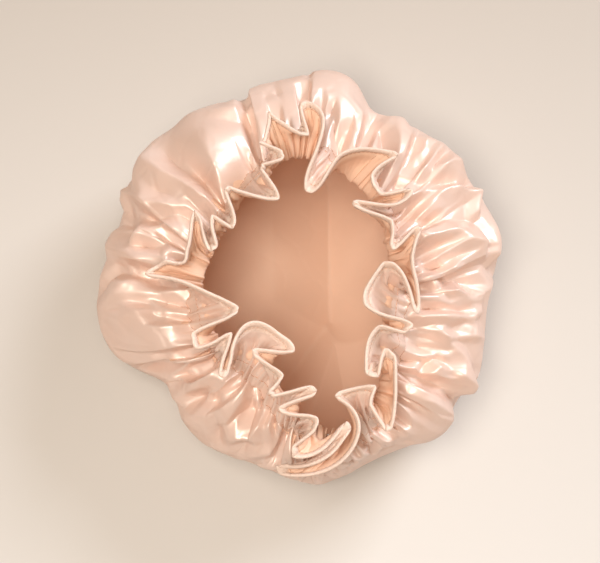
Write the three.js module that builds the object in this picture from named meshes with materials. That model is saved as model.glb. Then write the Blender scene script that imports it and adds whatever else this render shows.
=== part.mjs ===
import * as THREE from "three";

// A satin shower cap set down on its crown with its mouth up and its elastic at rest.
// Two layers of cloth, a satin outside and a waterproof lining, are joined along the edge of the
// frill. Two rows of stitches hold them together round a casing, and the elastic in the casing
// draws the mouth in, so that the cloth past it stands up as a pleated frill.
// Millimetres, +Z up, -Y towards the front, origin in the middle of the crown on the table.

// Overall sizes
const bodyReach = 125; // full scale of the body's outline
const mouthReach = 115; // full scale of the frill's and the elastic's outlines
const mouthForward = 11.5; // how far the mouth sits in front of the crown
const mouthHeight = 98; // height of the elastic
const mouthBackLift = 4; // rise of the elastic from its middle height to the back
const mouthSway = 2; // height of the elastic's own waves
const bellyHeight = 46; // height where the body is widest
const bellyBackLift = 8; // rise of that height from the middle to the back
const frillWidth = 27; // from the upper casing stitch to the edge

// Cloth, elastic and thread
const satinThickness = 0.3; // outer cloth
const liningThickness = 0.25; // inner cloth with its waterproof coat
const layerGap = 0.3; // between pieces that touch
const hemPlump = 0.15; // extra thickness of each layer where the hem is turned in
const hemInset = 5; // hem stitch to edge
const casingWidth = 10; // between the two casing stitches
const elasticWidth = 6; // flat knitted band
const elasticThickness = 0.8;
const elasticPlay = 0.3; // room beside the elastic in its casing
const joinLength = 14; // overlap of the elastic's two ends
const threadWidth = 0.4;
const threadHeight = 0.2; // how far a stitch stands off the cloth
const valleyGap = 0.6; // satin to the casing's needle threads, which lie in its valleys
const tackStep = 1.3; // advance of each stitch of the zigzag that joins the elastic
const tackReach = 3.6; // width of that zigzag

// How the cloth hangs
const casingAngle = THREE.MathUtils.degToRad(60); // slope of the casing, inwards and up
const shoulderLift = 6; // how far the gathered cloth puffs above the casing
const bellyRound = 36; // upright stretch of the side above the belly
const tuckRound = 26; // upright stretch of the side below the belly
const tuckLength = 22; // flat stretch where the side turns under
const swellHeight = 9; // of the cloth between two gathers
const foldRoom = 50; // width of cloth from casing to belly that holds folds of full height
const liningSlack = 4; // lining to satin at the belly
const pleatGap = 5.4; // least gap between neighbouring runs of the frill's edge
const pleatTurnRadius = 1.6; // how far the turns of the frill's edge are rounded
const pleatDepth = 40; // of a pleat that runs all the way down to the casing
const edgeSpacing = 2; // between the samples of the frill's edge
const leanReach = 16; // length of edge over which the frill's lean evens out

// Shares of those sizes
const shoulderShare = 0.35; // of the way from casing to belly, where the cloth puffs up most
const crownShare = 0.6; // of the body that lies flat on the table
const crownInnerShare = 0.5; // of the flat part, where its inner row of points lies
const roundingShare = 0.5; // of the outline's corners that the flat part loses
const leanShare = 0.9; // of the frill's width that it may lean over
const riseShare = 0.85; // how early the frill rises
const shortenShare = 1.3; // how late its pleats shorten on the way down
const drawShare = 1.5; // how early the frill leaves the casing's line
const straightShare = 0.15; // of points along the edge that don't follow its turns
const swellRoundShare = 0.75; // how full the cloth swells between two gathers
const slackShare = 0.5; // of the side above the belly that the lining needs to part from the satin
const nearShare = 1.6; // of the pleat gap, the length of edge within one turn
const spreadShare = 0.25; // of what a gap lacks that each of its two runs gives way in one pass
const stepShare = 0.3; // of the square of the edge spacing, one step of the shortening
const mouthCentreShares = [-0.02, -0.03]; // middle of the elastic from the middle of the mouth

// Outline of the body at its widest, in shares of bodyReach, from the right round to the back,
// the left and the front.
const bodyOutlineShares = [
  [0.99, 0.15], [0.97, 0.27], [0.95, 0.39], [0.92, 0.49], [0.78, 0.63], [0.63, 0.74], [0.5, 0.84],
  [0.35, 0.92], [0.28, 1.02], [0.14, 1.08], [0, 1.04], [-0.16, 1], [-0.33, 0.94], [-0.46, 0.88],
  [-0.58, 0.81], [-0.72, 0.72], [-0.82, 0.63], [-0.87, 0.53], [-0.92, 0.41], [-0.95, 0.3],
  [-0.96, 0.2], [-0.94, 0.09], [-0.99, -0.05], [-0.98, -0.19], [-0.94, -0.32], [-0.85, -0.41],
  [-0.68, -0.49], [-0.62, -0.56], [-0.55, -0.7], [-0.47, -0.8], [-0.3, -0.87], [-0.15, -0.92],
  [-0.03, -0.97], [0.05, -1], [0.2, -0.96], [0.35, -0.88], [0.5, -0.82], [0.65, -0.77],
  [0.77, -0.66], [0.85, -0.55], [0.89, -0.4], [0.92, -0.25], [0.92, -0.11], [0.96, -0.01],
];

// Radius of the elastic about the middle of the mouth, in shares of mouthReach, at even angles
// from the right.
const elasticRadiusShares = [
  0.53, 0.55, 0.62, 0.68, 0.72, 0.61, 0.52, 0.5, 0.52, 0.52, 0.49, 0.49, 0.69, 0.79, 0.66, 0.55,
];

// Where the cloth outside is drawn together most, in shares of a full turn from the right.
const gatherShares = [
  0.006, 0.072, 0.114, 0.181, 0.242, 0.292, 0.369, 0.45, 0.489, 0.531, 0.603, 0.675, 0.747, 0.822,
  0.892, 0.939,
];

// Edge of the frill seen from above, in shares of mouthReach. Each run between an inward and an
// outward turn is one side of a pleat.
const frillEdgeShares = [
  // left
  [-0.76, 0.03], [-0.77, -0.01], [-0.67, -0.02], [-0.57, -0.05], [-0.47, -0.1], [-0.41, -0.13],
  [-0.34, -0.14], [-0.3, -0.15], [-0.3, -0.19], [-0.35, -0.21], [-0.4, -0.24], [-0.47, -0.26],
  [-0.53, -0.29], [-0.52, -0.34], [-0.49, -0.38], [-0.44, -0.36], [-0.38, -0.31], [-0.34, -0.28],
  [-0.32, -0.31], [-0.36, -0.38], [-0.39, -0.45], [-0.39, -0.51], [-0.35, -0.52], [-0.32, -0.4],
  [-0.29, -0.3], [-0.24, -0.24], [-0.16, -0.26], [-0.08, -0.31], [-0.03, -0.34], [-0.04, -0.39],
  [-0.11, -0.38], [-0.18, -0.36], [-0.25, -0.37], [-0.21, -0.42], [-0.14, -0.46],
  // front
  [-0.08, -0.48], [-0.09, -0.52], [-0.12, -0.54], [-0.17, -0.57], [-0.14, -0.61], [-0.06, -0.59],
  [0.03, -0.55], [0.08, -0.56], [0.08, -0.6], [0.01, -0.61], [-0.07, -0.63], [-0.11, -0.65],
  [-0.07, -0.69], [-0.02, -0.7], [0.05, -0.68], [0.09, -0.72], [0.06, -0.79], [-0.01, -0.81],
  [-0.05, -0.84], [-0.04, -0.88], [0.03, -0.89], [0.11, -0.86], [0.17, -0.79], [0.19, -0.76],
  [0.2, -0.72], [0.24, -0.72], [0.24, -0.76], [0.21, -0.8], [0.15, -0.88], [0.07, -0.92],
  [-0.03, -0.93], [-0.12, -0.91], [-0.12, -0.94], [-0.04, -0.97], [0.06, -0.97], [0.18, -0.93],
  [0.26, -0.83], [0.29, -0.73], [0.26, -0.66], [0.22, -0.63], [0.16, -0.62], [0.18, -0.57],
  [0.24, -0.57], [0.32, -0.54], [0.37, -0.53], [0.38, -0.57], [0.34, -0.6], [0.32, -0.65],
  [0.36, -0.67], [0.39, -0.7], [0.39, -0.77], [0.43, -0.77], [0.46, -0.68], [0.46, -0.58],
  [0.46, -0.47], [0.45, -0.38], [0.39, -0.37], [0.4, -0.44], [0.39, -0.51], [0.33, -0.51],
  [0.32, -0.42], [0.33, -0.32], [0.38, -0.25],
  // right
  [0.42, -0.25], [0.48, -0.3], [0.53, -0.28], [0.55, -0.24], [0.46, -0.22], [0.38, -0.2],
  [0.31, -0.15], [0.31, -0.11], [0.35, -0.04], [0.4, 0.03], [0.43, 0.06], [0.46, 0.05], [0.49, 0],
  [0.52, -0.07], [0.53, -0.15], [0.54, -0.2], [0.58, -0.2], [0.58, -0.12], [0.56, -0.01],
  [0.54, 0.08], [0.57, 0.16], [0.61, 0.21], [0.58, 0.24], [0.53, 0.19], [0.49, 0.14], [0.45, 0.1],
  [0.43, 0.13], [0.45, 0.18], [0.47, 0.25], [0.42, 0.29], [0.33, 0.3], [0.26, 0.34], [0.26, 0.38],
  [0.33, 0.37], [0.4, 0.34], [0.48, 0.35], [0.56, 0.4], [0.55, 0.45], [0.48, 0.42], [0.41, 0.4],
  [0.37, 0.45], [0.37, 0.52], [0.43, 0.56], [0.5, 0.59],
  // back
  [0.49, 0.63], [0.42, 0.64], [0.32, 0.64], [0.22, 0.63], [0.16, 0.57], [0.12, 0.5], [0.08, 0.43],
  [0.03, 0.43], [0.03, 0.47], [0.06, 0.56], [0.1, 0.65], [0.13, 0.76], [0.11, 0.86], [0.04, 0.9],
  [-0.01, 0.88], [0.01, 0.8], [0.05, 0.73], [0.04, 0.69], [-0.02, 0.73], [-0.09, 0.78],
  [-0.14, 0.84], [-0.18, 0.82], [-0.17, 0.76], [-0.18, 0.68], [-0.23, 0.63], [-0.17, 0.63],
  [-0.09, 0.62], [-0.08, 0.57], [-0.14, 0.55], [-0.2, 0.55], [-0.21, 0.51], [-0.16, 0.48],
  [-0.1, 0.41], [-0.11, 0.36], [-0.16, 0.36], [-0.26, 0.4], [-0.36, 0.44], [-0.39, 0.41],
  [-0.34, 0.33],
  // left again
  [-0.31, 0.25], [-0.34, 0.2], [-0.41, 0.29], [-0.45, 0.28], [-0.43, 0.2], [-0.4, 0.14],
  [-0.42, 0.1], [-0.45, 0.11], [-0.48, 0.2], [-0.5, 0.31], [-0.54, 0.32], [-0.54, 0.22],
  [-0.56, 0.13], [-0.57, 0.05], [-0.6, 0.04], [-0.63, 0.08], [-0.67, 0.1], [-0.71, 0.06],
];

// Counts and rows
const bodyColumns = 72; // points round the satin's body and the casing
const liningColumns = 36; // points round the lining's body
const lowFrillColumns = 100; // points round each row of the frill
const midFrillColumns = 140;
const hemColumns = 190;
const edgeColumns = 192;
const outlineSamples = 720; // points round a smooth outline
const spreadPasses = 60; // rounds of moving the frill's runs apart
const roundingCount = 10; // how often its turns are rounded meanwhile
const joinAngle = THREE.MathUtils.degToRad(20); // where the elastic's ends overlap, from the right
const sideRowShares = [[1, 0.2], [0.7, 0.7], [0.4, 1], [0.15, 0.5]]; // belly to casing, with folds
const tuckRowShares = [[1, 0], [0.5, 0.15]]; // crown to belly, with folds
const liningSideShares = [[1, 0], [0.4, 0]]; // the same for the lining
const liningTuckShares = [[1, 0], [0.5, 0]];
const lowFrillShare = 0.33; // along the frill, from casing to edge
const midFrillShare = 0.6; // the row of points above that one
const tackStitchCount = 6; // strokes of the zigzag
const swayCount = 3; // ups and downs of the elastic all round

const turn = 2 * Math.PI;
const up = new THREE.Vector3(0, 0, 1);
const crownHeight = satinThickness + layerGap / 2;
const joinRoom = elasticThickness + layerGap + threadHeight;
const pocketShare = (elasticWidth + 2 * elasticPlay) / casingWidth;
const mouthCentre = new THREE.Vector2(
  mouthCentreShares[0] * mouthReach,
  mouthCentreShares[1] * mouthReach - mouthForward,
);

// A closed smooth line through the points of a table, as evenly spaced points.
function closedLine(shares, unit, forward, count) {
  const points = shares.map(
    ([x, y]) => new THREE.Vector3(x * unit, y * unit - forward, 0),
  );
  const curve = new THREE.CatmullRomCurve3(points, true, "centripetal");
  curve.arcLengthDivisions = 4 * count;
  return curve.getSpacedPoints(count).slice(0, count);
}

// A value between those of a table at even angles all round.
function aroundTable(values, angle) {
  const n = values.length;
  const place = ((((angle / turn) * n) % n) + n) % n;
  const i = Math.floor(place);
  const t = place - i;
  const [a, b, c, d] = [i - 1, i, i + 1, i + 2].map((k) => values[(k + n) % n]);
  const bend = 2 * b + (c - a) * t;
  return (bend + (2 * a - 5 * b + 4 * c - d) * t * t + (3 * b - a - 3 * c + d) * t ** 3) / 2;
}

// Radii of a closed line about the origin at even angles.
function radiiOf(line, count) {
  const radii = new Array(count).fill(0);
  line.forEach((p, i) => {
    const q = line[(i + 1) % line.length];
    for (let k = 0; k < count; k++) {
      const ray = new THREE.Vector2(Math.cos((k / count) * turn), Math.sin((k / count) * turn));
      const sideP = ray.x * p.y - ray.y * p.x;
      const sideQ = ray.x * q.y - ray.y * q.x;
      if (sideP * sideQ > 0 || sideP === sideQ) continue;
      const hit = p.clone().lerp(q, sideP / (sideP - sideQ));
      radii[k] = Math.max(radii[k], ray.x * hit.x + ray.y * hit.y);
    }
  });
  return radii;
}

// A closed row of values, each replaced by the weighted mean of those within reach of it.
function evened(values, reach) {
  const n = values.length;
  const wide = Math.ceil(3 * reach);
  const weights = [];
  for (let k = -wide; k <= wide; k++) weights.push(Math.exp(-0.5 * (k / reach) ** 2));
  const total = weights.reduce((a, b) => a + b);
  return values.map((_, i) =>
    weights.reduce((sum, w, k) => sum + w * values[(i + k - wide + n * wide) % n], 0) / total,
  );
}

// A closed flat line's length. A point's z says how much of the whole edge lies before it.
function lengthOf(line) {
  return line.reduce((sum, p, i) => sum + flatGap(p, line[(i + 1) % line.length]), 0);
}

const flatGap = (p, q) => Math.hypot(p.x - q.x, p.y - q.y);

// The point after one of a closed line, with the whole edge added to its z past the end.
function after(line, i) {
  const next = line[(i + 1) % line.length].clone();
  return i + 1 < line.length ? next : next.setZ(next.z + 1);
}

// The same closed line with its points spaced evenly.
function spaced(line, spacing) {
  const length = lengthOf(line);
  const count = Math.round(length / spacing);
  const points = [];
  let walked = 0;
  let i = 0;
  for (let k = 0; k < count; k++) {
    const goal = (k / count) * length;
    while (walked + flatGap(line[i], after(line, i)) < goal) {
      walked += flatGap(line[i], after(line, i));
      i++;
    }
    const next = after(line, i);
    points.push(line[i].clone().lerp(next, (goal - walked) / flatGap(line[i], next)));
  }
  return points;
}

// The edge of the frill with its turns rounded, and its runs kept apart as thick cloth keeps them.
function frillEdge() {
  const traced = closedLine(frillEdgeShares, mouthReach, mouthForward, outlineSamples);
  let line = spaced(traced, edgeSpacing);
  const near = Math.ceil((nearShare * pleatGap) / edgeSpacing);
  const soft = pleatTurnRadius / edgeSpacing / Math.sqrt(roundingCount);
  const n = line.length;
  for (let pass = 0; pass < spreadPasses; pass++) {
    if (pass % (spreadPasses / roundingCount) === 0) {
      const [xs, ys] = ["x", "y"].map((axis) => evened(line.map((p) => p[axis]), soft));
      line = xs.map((x, i) => new THREE.Vector3(x, ys[i], 0));
    }
    const moved = line.map((p) => p.clone());
    for (let i = 0; i < n; i++) {
      for (let j = i + near; j < n && n - (j - i) >= near; j++) {
        const short = pleatGap - flatGap(line[i], line[j]);
        if (short <= 0) continue;
        const apart = line[i].clone().sub(line[j]).setLength(spreadShare * short);
        moved[i].add(apart);
        moved[j].sub(apart);
      }
    }
    line = moved;
  }
  line.forEach((p, i) => p.setZ(i / n));
  return spaced(line, edgeSpacing);
}

// A closed line after its points have moved towards their neighbours for a while, which shortens
// its pleats from their tips. Its runs never cross on the way.
function shortened(line, amount) {
  const step = stepShare * edgeSpacing ** 2;
  let current = line;
  for (let done = 0; done < amount; done += step) {
    const n = current.length;
    const share = Math.min(step, amount - done) / edgeSpacing ** 2;
    current = current.map((p, i) => {
      const before = current[(i + n - 1) % n].clone();
      if (i === 0) before.z -= 1;
      const middle = before.add(after(current, i)).multiplyScalar(0.5);
      return p.clone().lerp(middle, 2 * share);
    });
    current = spaced(current, edgeSpacing);
  }
  return current;
}

const outlineRadii = radiiOf(
  closedLine(bodyOutlineShares, bodyReach, 0, outlineSamples),
  bodyColumns,
);
const meanRadius = outlineRadii.reduce((a, b) => a + b) / bodyColumns;

const elasticRadius = (angle) => aroundTable(elasticRadiusShares, angle) * mouthReach;
const elasticHeight = (angle) =>
  mouthHeight + mouthBackLift * Math.sin(angle) + mouthSway * Math.cos(swayCount * angle);

function mouthPoint(angle, radius, height) {
  return new THREE.Vector3(
    mouthCentre.x + radius * Math.cos(angle),
    mouthCentre.y + radius * Math.sin(angle),
    height,
  );
}

const elasticPoint = (angle) => mouthPoint(angle, elasticRadius(angle), elasticHeight(angle));

// The casing's slope at an angle: along runs with the elastic, rise points to the frill and
// out points away from the head.
function casingFrame(angle) {
  const small = turn / outlineSamples;
  const along = elasticPoint(angle + small).sub(elasticPoint(angle - small)).normalize();
  const outwards = along.clone().cross(up).normalize();
  const rise = outwards.multiplyScalar(-Math.cos(casingAngle));
  rise.addScaledVector(up, Math.sin(casingAngle)).normalize();
  return { along, rise, out: rise.clone().cross(along).normalize().negate() };
}

const casingPoint = (angle, across) =>
  elasticPoint(angle).addScaledVector(casingFrame(angle).rise, across);

// A point on the side of the body. Row 0 is the lower casing stitch, 1 the belly and 2 the edge
// of the flat crown. A fold lifts it by a share of the ridge height, and slack takes it inwards.
function sidePoint(angle, row, foldShare, slack) {
  const outwards = new THREE.Vector3(Math.cos(angle), Math.sin(angle), 0);
  const radius = aroundTable(outlineRadii, angle);
  const flat = crownShare * (radius + (meanRadius - radius) * roundingShare);
  const top = casingPoint(angle, -casingWidth / 2);
  const belly = outwards.clone().multiplyScalar(radius);
  belly.z = bellyHeight + bellyBackLift * outwards.y;
  const crown = outwards.clone().multiplyScalar(flat).setZ(crownHeight);
  const room = Math.min(1, flatGap(top, belly) / foldRoom);
  const shoulder = top.clone().lerp(belly, shoulderShare).setZ(top.z + room * shoulderLift);
  const aboveBelly = belly.clone().addScaledVector(up, bellyRound);
  const belowBelly = belly.clone().addScaledVector(up, -tuckRound);
  const tuck = crown.clone().addScaledVector(outwards, tuckLength);
  const isSide = row <= 1;
  const place = isSide ? row : row - 1;
  const curve = isSide
    ? new THREE.CubicBezierCurve3(top, shoulder, aboveBelly, belly)
    : new THREE.CubicBezierCurve3(belly, belowBelly, tuck, crown);
  const sideways = new THREE.Vector3(-outwards.y, outwards.x, 0);
  const away = curve.getTangent(place).cross(sideways);
  const full = isSide ? Math.min(1, place / slackShare) : Math.sqrt(1 - place);
  return curve
    .getPoint(place)
    .addScaledVector(away, foldShare * room * swellHeight - slack * full);
}

// The frill. Its rows are its edge with the pleats shortened more and more towards the casing,
// and drawn in towards it. Each place on the edge has its root, the angle where its cloth meets
// the casing, and its rise.
const frill = (() => {
  const edge = frillEdge();
  const fullAmount = (pleatDepth * pleatGap) / 2;
  const foot = shortened(edge, fullAmount);
  const fromCentre = (p) => new THREE.Vector2(p.x, p.y).sub(mouthCentre);
  let last = fromCentre(foot[0]).angle();
  const roots = foot.map((p) => {
    const angle = fromCentre(p).angle();
    last = Math.max(last, angle + turn * Math.round((last - angle) / turn));
    return new THREE.Vector3(p.z, last, 0);
  });
  const withinRound = (place) => place - Math.floor(place);
  const rootOf = (place) => {
    const [low, high] = around(roots, withinRound(place));
    const share = (withinRound(place) - low.x) / (high.x - low.x);
    return low.y + (high.y - low.y) * share + turn * Math.floor(place);
  };
  const footRadii = radiiOf(
    foot.map((p) => new THREE.Vector3(p.x - mouthCentre.x, p.y - mouthCentre.y, 0)),
    outlineSamples,
  );
  const leans = edge.map((p) => {
    const root = casingPoint(rootOf(p.z), casingWidth / 2);
    return Math.min(flatGap(p, root), leanShare * frillWidth);
  });
  const rises = evened(leans, leanReach / edgeSpacing).map((lean) =>
    Math.sqrt(frillWidth ** 2 - lean ** 2),
  );
  const row = (height, columns) => {
    const line = height < 1 ? shortened(edge, fullAmount * (1 - height) ** shortenShare) : edge;
    const drawn = (1 - height) ** drawShare;
    return placesOn(line, columns).map((p) => {
      const out = fromCentre(p);
      const angle = out.angle();
      const casing = casingPoint(angle, casingWidth / 2);
      const toCasing = flatGap(casing, mouthCentre) / aroundTable(footRadii, angle);
      out.multiplyScalar(1 + drawn * (toCasing - 1)).add(mouthCentre);
      const root = rootOf(p.z);
      const foot = casingPoint(root, casingWidth / 2).z;
      const rise = rises[Math.floor(withinRound(p.z) * edge.length)];
      const point = new THREE.Vector3(out.x, out.y, foot + rise * height ** riseShare);
      return { point, angle: root, place: p.z };
    });
  };
  return { row };
})();

// The two neighbours of a place in a closed row whose x runs once from 0 to 1.
function around(row, place) {
  const i = row.findIndex((p) => p.x > place);
  const first = row[0];
  const lastOne = row[row.length - 1];
  const wrap = new THREE.Vector3(1, turn, 0);
  if (i < 0) return [lastOne, first.clone().add(wrap)];
  if (i === 0) return [lastOne.clone().sub(wrap), first];
  return [row[i - 1], row[i]];
}

// Points of a closed line, closer together where it turns.
function placesOn(line, count) {
  const n = line.length;
  const reach = Math.round(pleatGap / edgeSpacing);
  const walked = [0];
  line.forEach((p, i) => {
    const a = new THREE.Vector2().subVectors(p, line[(i + n - reach) % n]);
    const b = new THREE.Vector2().subVectors(line[(i + reach) % n], p);
    const bend = Math.abs(Math.atan2(a.cross(b), a.dot(b)));
    walked.push(walked[i] + straightShare + bend);
  });
  const points = [];
  let i = 0;
  for (let k = 0; k < count; k++) {
    const goal = (k / count) * walked[n];
    while (walked[i + 1] < goal) i++;
    const share = (goal - walked[i]) / (walked[i + 1] - walked[i]);
    points.push(line[i].clone().lerp(after(line, i), share));
  }
  return points;
}

// A closed row of points of the cloth. Each has the angle at which it meets the casing, and on the
// frill its place along the edge.
function roundRow(columns, pointAt) {
  return Array.from({ length: columns }, (_, k) => {
    const angle = (k / columns) * turn;
    return { angle, point: pointAt(angle, k) };
  });
}

// How far an angle or a place lies past another, from 0 to a full round.
const lag = (value, base, full) => (((value - base) % full) + full) % full;

// Triangles between two closed rows, which may differ in how many points they have.
function strip(low, lowStart, high, highStart) {
  const isFrill = "place" in low[0];
  const full = isFrill ? 1 : turn;
  const valueOf = (item) => (isFrill ? item.place : item.angle);
  const base = valueOf(low[0]);
  const lags = high.map((item) => lag(valueOf(item), base, full));
  const first = lags.indexOf(Math.min(...lags));
  const lowAt = (k) => (k < low.length ? lag(valueOf(low[k]), base, full) : full);
  const highAt = (k) => (k < high.length ? lags[(first + k) % high.length] : lags[first] + full);
  const faces = [];
  let i = 0;
  let j = 0;
  while (i < low.length || j < high.length) {
    const a = lowStart + (i % low.length);
    const b = highStart + ((first + j) % high.length);
    const isLow = i < low.length && (j >= high.length || lowAt(i + 1) <= highAt(j + 1));
    if (isLow) {
      faces.push([a, lowStart + ((i + 1) % low.length), b]);
      i++;
    } else {
      faces.push([a, highStart + ((first + j + 1) % high.length), b]);
      j++;
    }
  }
  return faces;
}

// A sheet of cloth as rows from the crown to the edge of the frill, joined by triangles.
function sheetOf(rows) {
  const points = [new THREE.Vector3(0, 0, crownHeight)];
  const starts = rows.map((row) => points.push(...row.map((item) => item.point)) - row.length);
  const crownRow = rows[0].length;
  const faces = rows[0].map((_, k) => [0, starts[0] + ((k + 1) % crownRow), starts[0] + k]);
  rows.slice(1).forEach((row, r) => faces.push(...strip(rows[r], starts[r], row, starts[r + 1])));
  return { points, faces, rows, starts };
}

// Directions square to the sheet at its points, away from the head.
function facing({ points, faces, rows }) {
  const normals = points.map(() => new THREE.Vector3());
  for (const face of faces) {
    const [a, b, c] = face.map((k) => points[k]);
    const normal = b.clone().sub(a).cross(c.clone().sub(a)).normalize();
    face.forEach((k, corner) => {
      const to = [1, 2].map((step) => points[face[(corner + step) % 3]].clone().sub(points[k]));
      normals[k].addScaledVector(normal, to[0].angleTo(to[1]));
    });
  }
  const flatPoints = 1 + rows[0].length;
  return normals.map((v, k) => (k < flatPoints ? up.clone().negate() : v.normalize()));
}

// How far the cloth swells at an angle, from 0 at a gather to 1 between two gathers far apart.
function swellShareAt(angle) {
  const place = angle / turn;
  const count = gatherShares.length;
  const last = gatherShares[count - 1];
  const next = gatherShares.findIndex((share) => share > place);
  const high = next < 0 ? gatherShares[0] + 1 : gatherShares[next];
  const low = next > 0 ? gatherShares[next - 1] : last - (next < 0 ? 0 : 1);
  const between = (place - low) / (high - low);
  return Math.min(1, (high - low) * count) * (4 * between * (1 - between)) ** swellRoundShare;
}

// The cloth between the satin and the lining, which both layers lie along.
function clothSheet(sideAt, tuckAt, columns, foldShareOf, slack) {
  const sideRow = ([row, foldShare]) =>
    roundRow(columns, (angle) => sidePoint(angle, row, foldShare * foldShareOf(angle), slack));
  const flatRow = roundRow(columns, (angle) =>
    sidePoint(angle, 2, 0, 0).multiplyScalar(crownInnerShare).setZ(crownHeight),
  );
  const tuckRow = ([row, foldShare]) => sideRow([1 + row, foldShare]);
  const bodyRows = [...tuckAt.map(tuckRow), ...sideAt.map(sideRow)];
  const sheet = sheetOf([flatRow, ...bodyRows, ...casingRows, ...frillRows]);
  return { ...sheet, normals: facing(sheet) };
}

// How much of the elastic's doubled join lies at an angle: 1 in the overlap and 0 away from it.
function joinShare(angle) {
  const past = Math.abs(angle - joinAngle) * elasticRadius(joinAngle) - joinLength / 2;
  return THREE.MathUtils.clamp(1 - past / elasticWidth, 0, 1);
}

// How far a layer's near face lies from the sheet. The casing opens round the elastic.
function nearOffset(item, row, side) {
  const isPocket = row === casingRows[1] || row === casingRows[2];
  if (!isPocket) return layerGap / 2;
  const room = side < 0 ? joinShare(item.angle) * joinRoom : 0;
  return elasticThickness / 2 + layerGap + room;
}

// Offsets of a layer's near and far faces, point by point. Side 1 is the satin's and -1 the
// lining's, and the hem is plumper.
function layerOffsets(cloth, side, thickness) {
  const near = [layerGap / 2];
  const far = [layerGap / 2 + thickness];
  for (const row of cloth.rows) {
    const plump = row === edgeRow ? hemPlump : 0;
    for (const item of row) {
      near.push(nearOffset(item, row, side));
      far.push(near[near.length - 1] + thickness + plump);
    }
  }
  return { near: near.map((offset) => side * offset), far: far.map((offset) => side * offset) };
}

function meshGeometry(points, faces) {
  const geometry = new THREE.BufferGeometry();
  const numbers = points.flatMap((p) => p.toArray());
  geometry.setAttribute("position", new THREE.Float32BufferAttribute(numbers, 3));
  geometry.setIndex(faces.flat());
  return geometry;
}

// A closed solid between the two faces of a layer.
function layerGeometry(cloth, outer, inner) {
  const count = cloth.points.length;
  const face = (offsets) =>
    cloth.points.map((p, k) => p.clone().addScaledVector(cloth.normals[k], offsets[k]));
  const faces = cloth.faces.flatMap(([a, b, c]) => [[a, b, c], [a + count, c + count, b + count]]);
  const edge = cloth.rows[cloth.rows.length - 1].length;
  const start = count - edge;
  for (let k = 0; k < edge; k++) {
    const a = start + k;
    const b = start + ((k + 1) % edge);
    faces.push([a, b, b + count], [a, b + count, a + count]);
  }
  return meshGeometry([...face(outer), ...face(inner)], faces);
}

// A closed ring whose section, a list of points, is given column by column.
function ringGeometry(sections) {
  const sides = sections[0].length;
  const faces = [];
  sections.forEach((_, k) => {
    const next = (k + 1) % sections.length;
    for (let s = 0; s < sides; s++) {
      const t = (s + 1) % sides;
      const [a, b, c, d] = [k * sides + s, next * sides + s, next * sides + t, k * sides + t];
      faces.push([a, c, b], [a, d, c]);
    }
  });
  return meshGeometry(sections.flat(), faces);
}

// A thread laid along one row of stitches, on the satin with side 1 or on the lining with -1. Its
// width stands upright, so that it hardly twists from one turn of the cloth to the next.
function threadGeometry(cloth, offsets, row, side, gap) {
  const start = cloth.starts[cloth.rows.indexOf(row)];
  const n = row.length;
  const half = threadWidth / 2;
  const sections = row.map(({ point }, k) => {
    const along = row[(k + 1) % n].point.clone().sub(row[(k + n - 1) % n].point).normalize();
    const across = up.clone().addScaledVector(along, -along.z).normalize().multiplyScalar(-side);
    const away = across.clone().cross(along);
    const depth = offsets[start + k] + side * gap;
    const foot = point.clone().addScaledVector(cloth.normals[start + k], depth);
    const top = foot.clone().addScaledVector(away, threadHeight);
    return [foot, ...[-half, half].map((shift) => top.clone().addScaledVector(across, shift))];
  });
  return ringGeometry(sections);
}

// The elastic: a flat band in the casing, doubled where its two ends overlap.
function elasticGeometry() {
  const half = elasticWidth / 2;
  const outer = elasticThickness / 2;
  const sections = roundRow(bodyColumns, (angle) => {
    const { rise, out } = casingFrame(angle);
    const inner = -elasticThickness / 2 - joinShare(angle) * elasticThickness;
    const corner = (across, depth) =>
      elasticPoint(angle).addScaledVector(rise, across).addScaledVector(out, depth);
    return [corner(-half, inner), corner(half, inner), corner(half, outer), corner(-half, outer)];
  });
  return ringGeometry(sections.map((section) => section.point));
}

// The zigzag of thread that holds the elastic's two ends together, in its own flat frame.
function tackGeometry() {
  const middle = (tackStitchCount * tackStep) / 2;
  const stroke = (threadWidth * Math.hypot(tackStep, tackReach)) / tackStep;
  const edge = (side) =>
    Array.from({ length: tackStitchCount + 1 }, (_, k) => {
      const across = (k % 2 ? tackReach : -tackReach) / 2;
      return new THREE.Vector2(k * tackStep - middle, across + (side * stroke) / 2);
    });
  const shape = new THREE.Shape([...edge(-1), ...edge(1).reverse()]);
  return new THREE.ExtrudeGeometry(shape, { depth: threadHeight, bevelEnabled: false });
}

// The tack lies on the inner face of the elastic's overlap.
function tackPlacement() {
  const { along, rise, out } = casingFrame(joinAngle);
  const place = elasticPoint(joinAngle).addScaledVector(out, -elasticThickness / 2 - joinRoom);
  return new THREE.Matrix4().makeBasis(along, rise, out).setPosition(place);
}

const casingRows = [-1, -pocketShare, pocketShare, 1].map((share) =>
  roundRow(bodyColumns, (angle) => casingPoint(angle, (share * casingWidth) / 2)),
);
const hemRow = frill.row(1 - hemInset / frillWidth, hemColumns);
const edgeRow = frill.row(1, edgeColumns);
const frillRows = [
  frill.row(lowFrillShare, lowFrillColumns),
  frill.row(midFrillShare, midFrillColumns),
  hemRow,
  edgeRow,
];
const satinCloth = clothSheet(
  sideRowShares,
  tuckRowShares,
  bodyColumns,
  swellShareAt,
  0,
);
const liningCloth = clothSheet(
  liningSideShares,
  liningTuckShares,
  liningColumns,
  () => 0,
  liningSlack,
);
const satinFaces = layerOffsets(satinCloth, 1, satinThickness);
const liningFaces = layerOffsets(liningCloth, -1, liningThickness);

const satin = { color: "#f2d3bd", roughness: 0.35 };
const liningCoat = { color: "#e3ab88", roughness: 0.55 };
const elasticKnit = { color: "#f4efe8", roughness: 0.85 };
const thread = { color: "#f0cdb4", roughness: 0.6 };

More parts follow.
